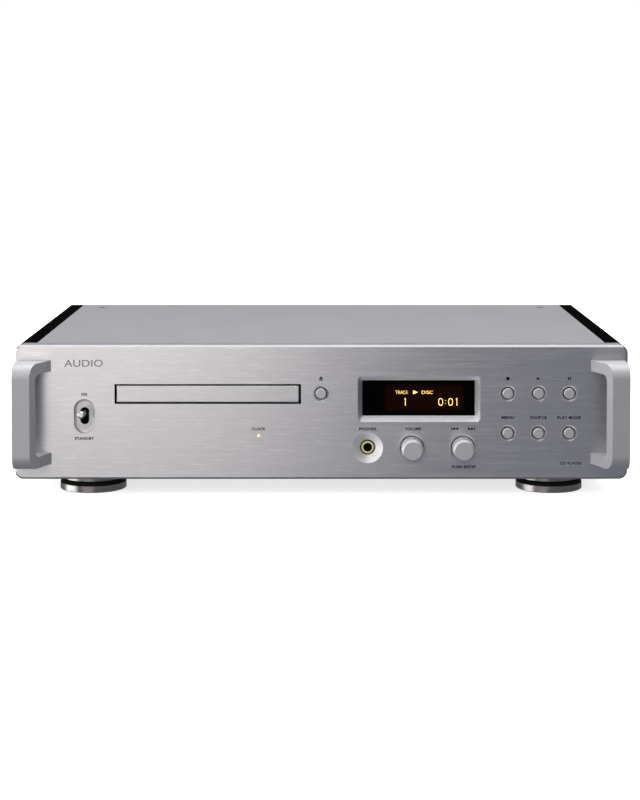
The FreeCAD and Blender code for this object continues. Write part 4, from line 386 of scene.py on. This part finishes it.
grey_ink = moulded("grey_ink", (0.12, 0.12, 0.125), 0.6, specular=0.1)
amber = glowing("amber_segment", (1.0, 0.6, 0.1), 0.75)
lamp = glowing("clock_lamp", (1.0, 0.45, 0.16), 0.6)

MATERIAL_OF_SLOT = {
    "panel_aluminium": panel_metal,
    "handle_aluminium": handle_metal,
    "cover_aluminium": cover_metal,
    "side_black": side_black,
    "chassis_steel": coated_steel,
    "inner_steel": plated_steel,
    "foot_metal": foot_metal,
    "foot_rubber": rubber,
    "screw_steel": screw_metal,
    "window_black": window_black,
    "display_glass": display_glass,
    "button_aluminium": button_metal,
    "black_plastic": black_plastic,
    "toggle_chrome": chrome,
    "knob_aluminium": knob_metal,
    "gold_plate": gold,
    "lamp_lens": lamp,
    "tray_plastic": tray_plastic,
    "frame_plastic": frame_plastic,
    "gear_plastic": gear_plastic,
    "belt_rubber": rubber,
    "motor_steel": motor_steel,
    "board_green": board_green,
    "transformer_core": winding,
}

# the two nodes whose look isn't the same all over their slot's material
MATERIAL_OF_NODE = {
    "jack_sleeve": plug_sleeve("jack_gold", (1.0, 0.9, 0.34), 0.42, "jack_sleeve", JACK_LIP),
    "rear_sockets": socket_metal("socket_gold", (0.85, 0.63, 0.28), 0.22, SOCKET_COLLAR),
}


def dress_nodes():
    """Give every CAD node its material, by its slot in the record."""
    slot_of = {row["node"]: row["material_slot"] for row in frame["record"]["subparts"]}
    for name, item in NODES.items():
        item.data.materials.clear()
        item.data.materials.append(MATERIAL_OF_NODE.get(name, MATERIAL_OF_SLOT[slot_of[name]]))


# ---- printed marks and display ---------------------------------------------------

def finish_piece(item, material, body):
    """Give a new piece its material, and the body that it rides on."""
    item.data.materials.append(material)
    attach(item, body)


def lettering(name, text, x, z, width, cap_height, y, material, weight):
    """Plain sans capitals that face the front, fitted to a width and a cap height.

    A weight above 0 makes the strokes bolder, and one below 0 makes them lighter.
    """
    curve = bpy.data.curves.new(name, "FONT")
    curve.body = text
    curve.align_x = "CENTER"
    curve.offset = weight
    curve.space_character = 1.0 + 2 * max(weight, 0.0)
    item = bpy.data.objects.new(name, curve)
    bpy.context.scene.collection.objects.link(item)
    bpy.context.view_layer.update()
    mesh = bpy.data.meshes.new_from_object(item)
    bpy.data.objects.remove(item)
    xs = [vertex.co.x for vertex in mesh.vertices]
    ys = [vertex.co.y for vertex in mesh.vertices]
    wide, tall = max(xs) - min(xs), max(ys) - min(ys)
    middle_x, middle_y = (max(xs) + min(xs)) / 2, (max(ys) + min(ys)) / 2
    for vertex in mesh.vertices:
        across = (vertex.co.x - middle_x) * width / wide
        up = (vertex.co.y - middle_y) * cap_height / tall
        vertex.co = Vector((x + across, y, z + up))
    item = bpy.data.objects.new(name, mesh)
    bpy.context.scene.collection.objects.link(item)
    thicken(item, PRINT_HEIGHT)
    finish_piece(item, material, ROOT)


def thicken(item, depth):
    """Turn a flat front-facing mesh into a closed solid, depth deep towards +Y."""
    shape = bmesh.new()
    shape.from_mesh(item.data)
    bmesh.ops.remove_doubles(shape, verts=shape.verts, dist=1e-7)
    bmesh.ops.recalc_face_normals(shape, faces=shape.faces)
    result = bmesh.ops.extrude_face_region(shape, geom=shape.faces[:])
    moved = [part for part in result["geom"] if isinstance(part, bmesh.types.BMVert)]
    bmesh.ops.translate(shape, verts=moved, vec=(0, depth, 0))
    bmesh.ops.recalc_face_normals(shape, faces=shape.faces)
    shape.to_mesh(item.data)
    shape.free()


def symbol(name, outlines, x, z, y, material):
    """One or more flat polygons, given in metres about their middle, facing the front."""
    mesh = bpy.data.meshes.new(name)
    vertices, faces = [], []
    for outline in outlines:
        first = len(vertices)
        vertices += [(x + across, y, z + up) for across, up in outline]
        faces.append(list(range(first, first + len(outline))))
    mesh.from_pydata(vertices, [], faces)
    item = bpy.data.objects.new(name, mesh)
    bpy.context.scene.collection.objects.link(item)
    thicken(item, PRINT_HEIGHT)
    finish_piece(item, material, ROOT)


def triangle(width, height, x=0.0, direction=1):
    """A triangle about x that points right, or left where direction is -1."""
    base, tip = x - direction * width / 2, x + direction * width / 2
    return [(base, -height / 2), (tip, 0.0), (base, height / 2)]


def bar(width, height, x=0.0):
    """A rectangle about x."""
    left, right, top = x - width / 2, x + width / 2, height / 2
    return [(left, -top), (right, -top), (right, top), (left, top)]


def panel_print():
    """The generic words and symbols printed beside the controls."""
    y = PANEL_FRONT - PRINT_HEIGHT
    height, weight = 2.1 * MM, 0.038
    # piece, text, the node beside it, its offset in X and Z from that node, and its width, in mm
    words = [
        ("print_on", "ON", "toggle_bracket", 0.0, 15.9, 4.1),
        ("print_standby", "STANDBY", "toggle_bracket", 0.0, -16.2, 14.0),
        ("print_clock", "CLOCK", "clock_led", 0.0, 4.9, 10.0),
        ("print_menu", "MENU", "button_menu", 0.0, 11.3, 8.9),
        ("print_source", "SOURCE", "button_source", 0.0, 11.3, 11.9),
        ("print_play_mode", "PLAY MODE", "button_play_mode", 0.0, 11.3, 17.1),
        ("print_phones", "PHONES", "jack_sleeve", 0.0, 13.9, 12.4),
        ("print_volume", "VOLUME", "volume_knob", 0.7, 13.8, 11.8),
        ("print_push_enter", "PUSH ENTER", "skip_knob", 1.0, -13.9, 17.6),
    ]
    for name, text, node, right, up, width in words:
        beside = centre(node)
        lettering(name, text, beside.x + right * MM, beside.z + up * MM, width * MM, height, y,
                  print_ink, weight)
    lettering("print_maker", "AUDIO", PANEL_LOW.x + 50.4 * MM, PANEL_HIGH.z - 13.2 * MM, 28 * MM,
              5.2 * MM, y, grey_ink, 0.01)
    lettering("print_kind", "CD PLAYER", PANEL_HIGH.x - 41 * MM, PANEL_LOW.z + 11.7 * MM,
              15.6 * MM, 2.0 * MM, y, print_ink, 0.02)
    mark, mark_up = 2.3 * MM, 10.8 * MM
    stop = [bar(mark, mark)]
    play = [triangle(mark * 1.15, mark)]
    pause = [bar(mark * 0.36, mark, side * mark * 0.32) for side in (-1, 1)]
    up = [(-mark * 0.6, -mark * 0.1), (mark * 0.6, -mark * 0.1), (0.0, mark * 0.75)]
    line = [(x, z - mark * 0.45) for x, z in bar(mark * 1.2, mark * 0.35)]
    for name, shapes in (("stop", stop), ("play", play), ("pause", pause), ("eject", [up, line])):
        button = centre(f"button_{name}")
        symbol(f"print_{name}", shapes, button.x, button.z + mark_up, y, print_ink)
    knob = centre("skip_knob")
    skip, skip_reach, skip_up = 2.2 * MM, 6.0 * MM, 13.8 * MM
    for name, side in (("print_back", -1), ("print_forward", 1)):
        shapes = [triangle(skip, skip, side * step * skip, side) for step in (-0.6, 0.4)]
        shapes.append(bar(skip * 0.28, skip, side * skip * 1.04))
        symbol(name, shapes, knob.x + side * skip_reach, knob.z + skip_up, y, print_ink)


def zero_outline(width, height, stroke):
    """The outline of a 0 as a closed band: a list of quadrilaterals round a squarish oval."""
    def at(index, inset):
        angle = 2 * math.pi * index / OVAL_STEPS
        round_x = math.copysign(abs(math.cos(angle)) ** 0.8, math.cos(angle))
        round_z = math.copysign(abs(math.sin(angle)) ** 0.8, math.sin(angle))
        return (round_x * (width / 2 - inset), round_z * (height / 2 - inset))
    return [[at(index, 0), at(index + 1, 0), at(index + 1, stroke), at(index, stroke)]
            for index in range(OVAL_STEPS)]


def one_outline(height, stroke):
    """A 1: an upright stem with a short flag at its top left."""
    stem = bar(stroke, height)
    top, left = height / 2, -stroke / 2
    end = left - stroke * 1.3
    flag = [(left, top), (end, top - stroke * 1.2), (end, top - stroke * 2.1),
            (left, top - stroke * 1.2)]
    return [stem, flag]


def display_text():
    """Amber segments just in front of the dark window."""
    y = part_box("display_window")[0].y - PRINT_HEIGHT
    middle = centre("display_window")
    row, digits = middle.z + 4.1 * MM, middle.z - 2.95 * MM
    # offsets in X from the middle of the window, in mm
    words = [("display_track", "TRACK", -12.15, 9.1), ("display_disc", "DISC", 6.35, 8.2)]
    for name, text, right, width in words:
        lettering(name, text, middle.x + right * MM, row, width * MM, 2.4 * MM, y, amber,
                  -0.01)
    symbol("display_play", [triangle(3.3 * MM, 2.8 * MM)], middle.x - 2.25 * MM, row, y, amber)
    height, stroke = 5.4 * MM, 0.45 * MM
    zero = zero_outline(3.4 * MM, height, stroke)
    one = one_outline(height, stroke)
    colon = [[(x, z + side * height * 0.2) for x, z in bar(stroke, stroke)] for side in (-1, 1)]
    places = [("display_number", one, -9.55), ("display_minutes", zero, 16.05),
              ("display_colon", colon, 19.55), ("display_tens", zero, 23.25),
              ("display_units", one, 27.85)]
    for name, shapes, right in places:
        symbol(name, shapes, middle.x + right * MM, digits, y, amber)


# ---- rear ---------------------------------------------------------------------------

def lathe(name, profile, x, z, material):
    """A solid turned round an axis along Y at (x, z): profile has (radius, y) from end to end."""
    shape = bmesh.new()
    rings = []
    for radius, y in profile:
        ring = []
        for side in range(LATHE_SIDES):
            angle = 2 * math.pi * side / LATHE_SIDES
            point = (x + radius * math.cos(angle), y, z + radius * math.sin(angle))
            ring.append(shape.verts.new(point))
        rings.append(ring)
    for first, second in zip(rings, rings[1:]):
        for side in range(LATHE_SIDES):
            after = (side + 1) % LATHE_SIDES
            shape.faces.new((first[side], first[after], second[after], second[side]))
    shape.faces.new(rings[0])
    shape.faces.new(rings[-1])
    bmesh.ops.recalc_face_normals(shape, faces=shape.faces)
    mesh = bpy.data.meshes.new(name)
    shape.to_mesh(mesh)
    shape.free()
    item = bpy.data.objects.new(name, mesh)
    bpy.context.scene.collection.objects.link(item)
    finish_piece(item, material, ROOT)


def contact_pins():
    """Three round-nosed contact pins down each balanced socket."""
    pitch, radius, recess = 4.4 * MM, 1.2 * MM, 5 * MM
    for opening in frame["record"]["physics"]["openings"]:
        if not opening["name"].startswith("balanced_socket"):
            continue
        low, high = (Vector(corner) for corner in opening["box_m"])
        middle = (low + high) / 2
        tip = high.y - recess
        profile = [(radius, low.y), (radius, tip - radius), (radius * 0.85, tip - radius * 0.45),
                   (radius * 0.5, tip - radius * 0.1), (radius * 0.15, tip)]
        for index in range(3):
            angle = math.radians(90 + 120 * index)
            x = middle.x + pitch * math.cos(angle)
            z = middle.z + pitch * math.sin(angle)
            lathe(f"{opening['name']}_pin_{index + 1}", profile, x, z, gold)


# ---- stage ------------------------------------------------------------------------

def area_light(name, location, target, size, power, color):
    """A rectangular soft light, turned towards target."""
    data = bpy.data.lights.new(name, "AREA")
    data.shape = "RECTANGLE"
    data.size, data.size_y = size
    data.energy = power
    data.color = color
    item = bpy.data.objects.new(name, data)
    item.location = location
    aim = Vector(target) - Vector(location)
    item.rotation_euler = aim.to_track_quat("-Z", "Y").to_euler()
    bpy.context.scene.collection.objects.link(item)


def world_light(grey):
    """A white surround that gloss reflects as a softer grey, as black flags round a set do."""
    world = bpy.data.worlds.new("studio")
    world.use_nodes = True
    tree = world.node_tree
    white = tree.nodes["Background"]
    white.inputs["Color"].default_value = (1, 1, 1, 1)
    flagged = tree.nodes.new("ShaderNodeBackground")
    bluish = (0.95, 0.98, 1.12)
    flagged.inputs["Color"].default_value = (*(grey * part for part in bluish), 1)
    path = tree.nodes.new("ShaderNodeLightPath")
    mix = tree.nodes.new("ShaderNodeMixShader")
    tree.links.new(path.outputs["Is Glossy Ray"], mix.inputs[0])
    tree.links.new(white.outputs[0], mix.inputs[1])
    tree.links.new(flagged.outputs[0], mix.inputs[2])
    tree.links.new(mix.outputs[0], tree.nodes["World Output"].inputs["Surface"])
    bpy.context.scene.world = world


def stage():
    """A white light table, a white surround and four soft lights."""
    reach = 6.0
    corners = [(-reach, -reach, 0), (reach, -reach, 0), (reach, reach, 0), (-reach, reach, 0)]
    mesh = bpy.data.meshes.new("floor")
    mesh.from_pydata(corners, [], [(0, 1, 2, 3)])
    floor = bpy.data.objects.new("floor", mesh)
    bpy.context.scene.collection.objects.link(floor)
    table = Shader("light_table", (0.95, 0.95, 0.95), 0.0, 0.8)
    table.set("Emission Color", (1, 1, 1, 1))
    table.set("Emission Strength", 0.72)
    floor.data.materials.append(table.material)
    floor.visible_glossy = False
    world_light(grey=0.23)
    white, warm = (1, 1, 1), (1.0, 0.94, 0.89)
    # name, place, where it points, width and height, watts, colour
    lights = [
        ("top_softbox", (0.0, 0.2, 1.35), (0, 0.1, 0), (2.2, 1.5), 25, white),
        ("back_softbox", (0.0, 2.2, 1.05), (0, 0.0, 0.3), (1.8, 1.1), 2.0, white),
        ("key_softbox", (-0.505, -1.5, 0.53), (0, -0.05, 0.06), (1.12, 1.54), 9.5, warm),
        ("left_softbox", (-1.6, -0.45, 0.2), (0, -0.45, 0.1), (1.3, 1.3), 20, white),
    ]
    for light in lights:
        area_light(*light)


def camera():
    """A product view from 1.5 m in front and slightly above, looking along +Y."""
    pitch_down = 2.62
    data = bpy.data.cameras.new("camera")
    data.sensor_width = 36
    data.lens = 85.86
    data.shift_x = -0.003
    data.shift_y = -0.25
    item = bpy.data.objects.new("camera", data)
    item.location = (0.001, -1.509, 0.2787)
    item.rotation_euler = (math.radians(90 - pitch_down), 0, 0)
    bpy.context.scene.collection.objects.link(item)
    bpy.context.scene.camera = item


dress_nodes()
panel_print()
display_text()
contact_pins()
stage()
camera()
bpy.context.scene.view_settings.view_transform = "Standard"
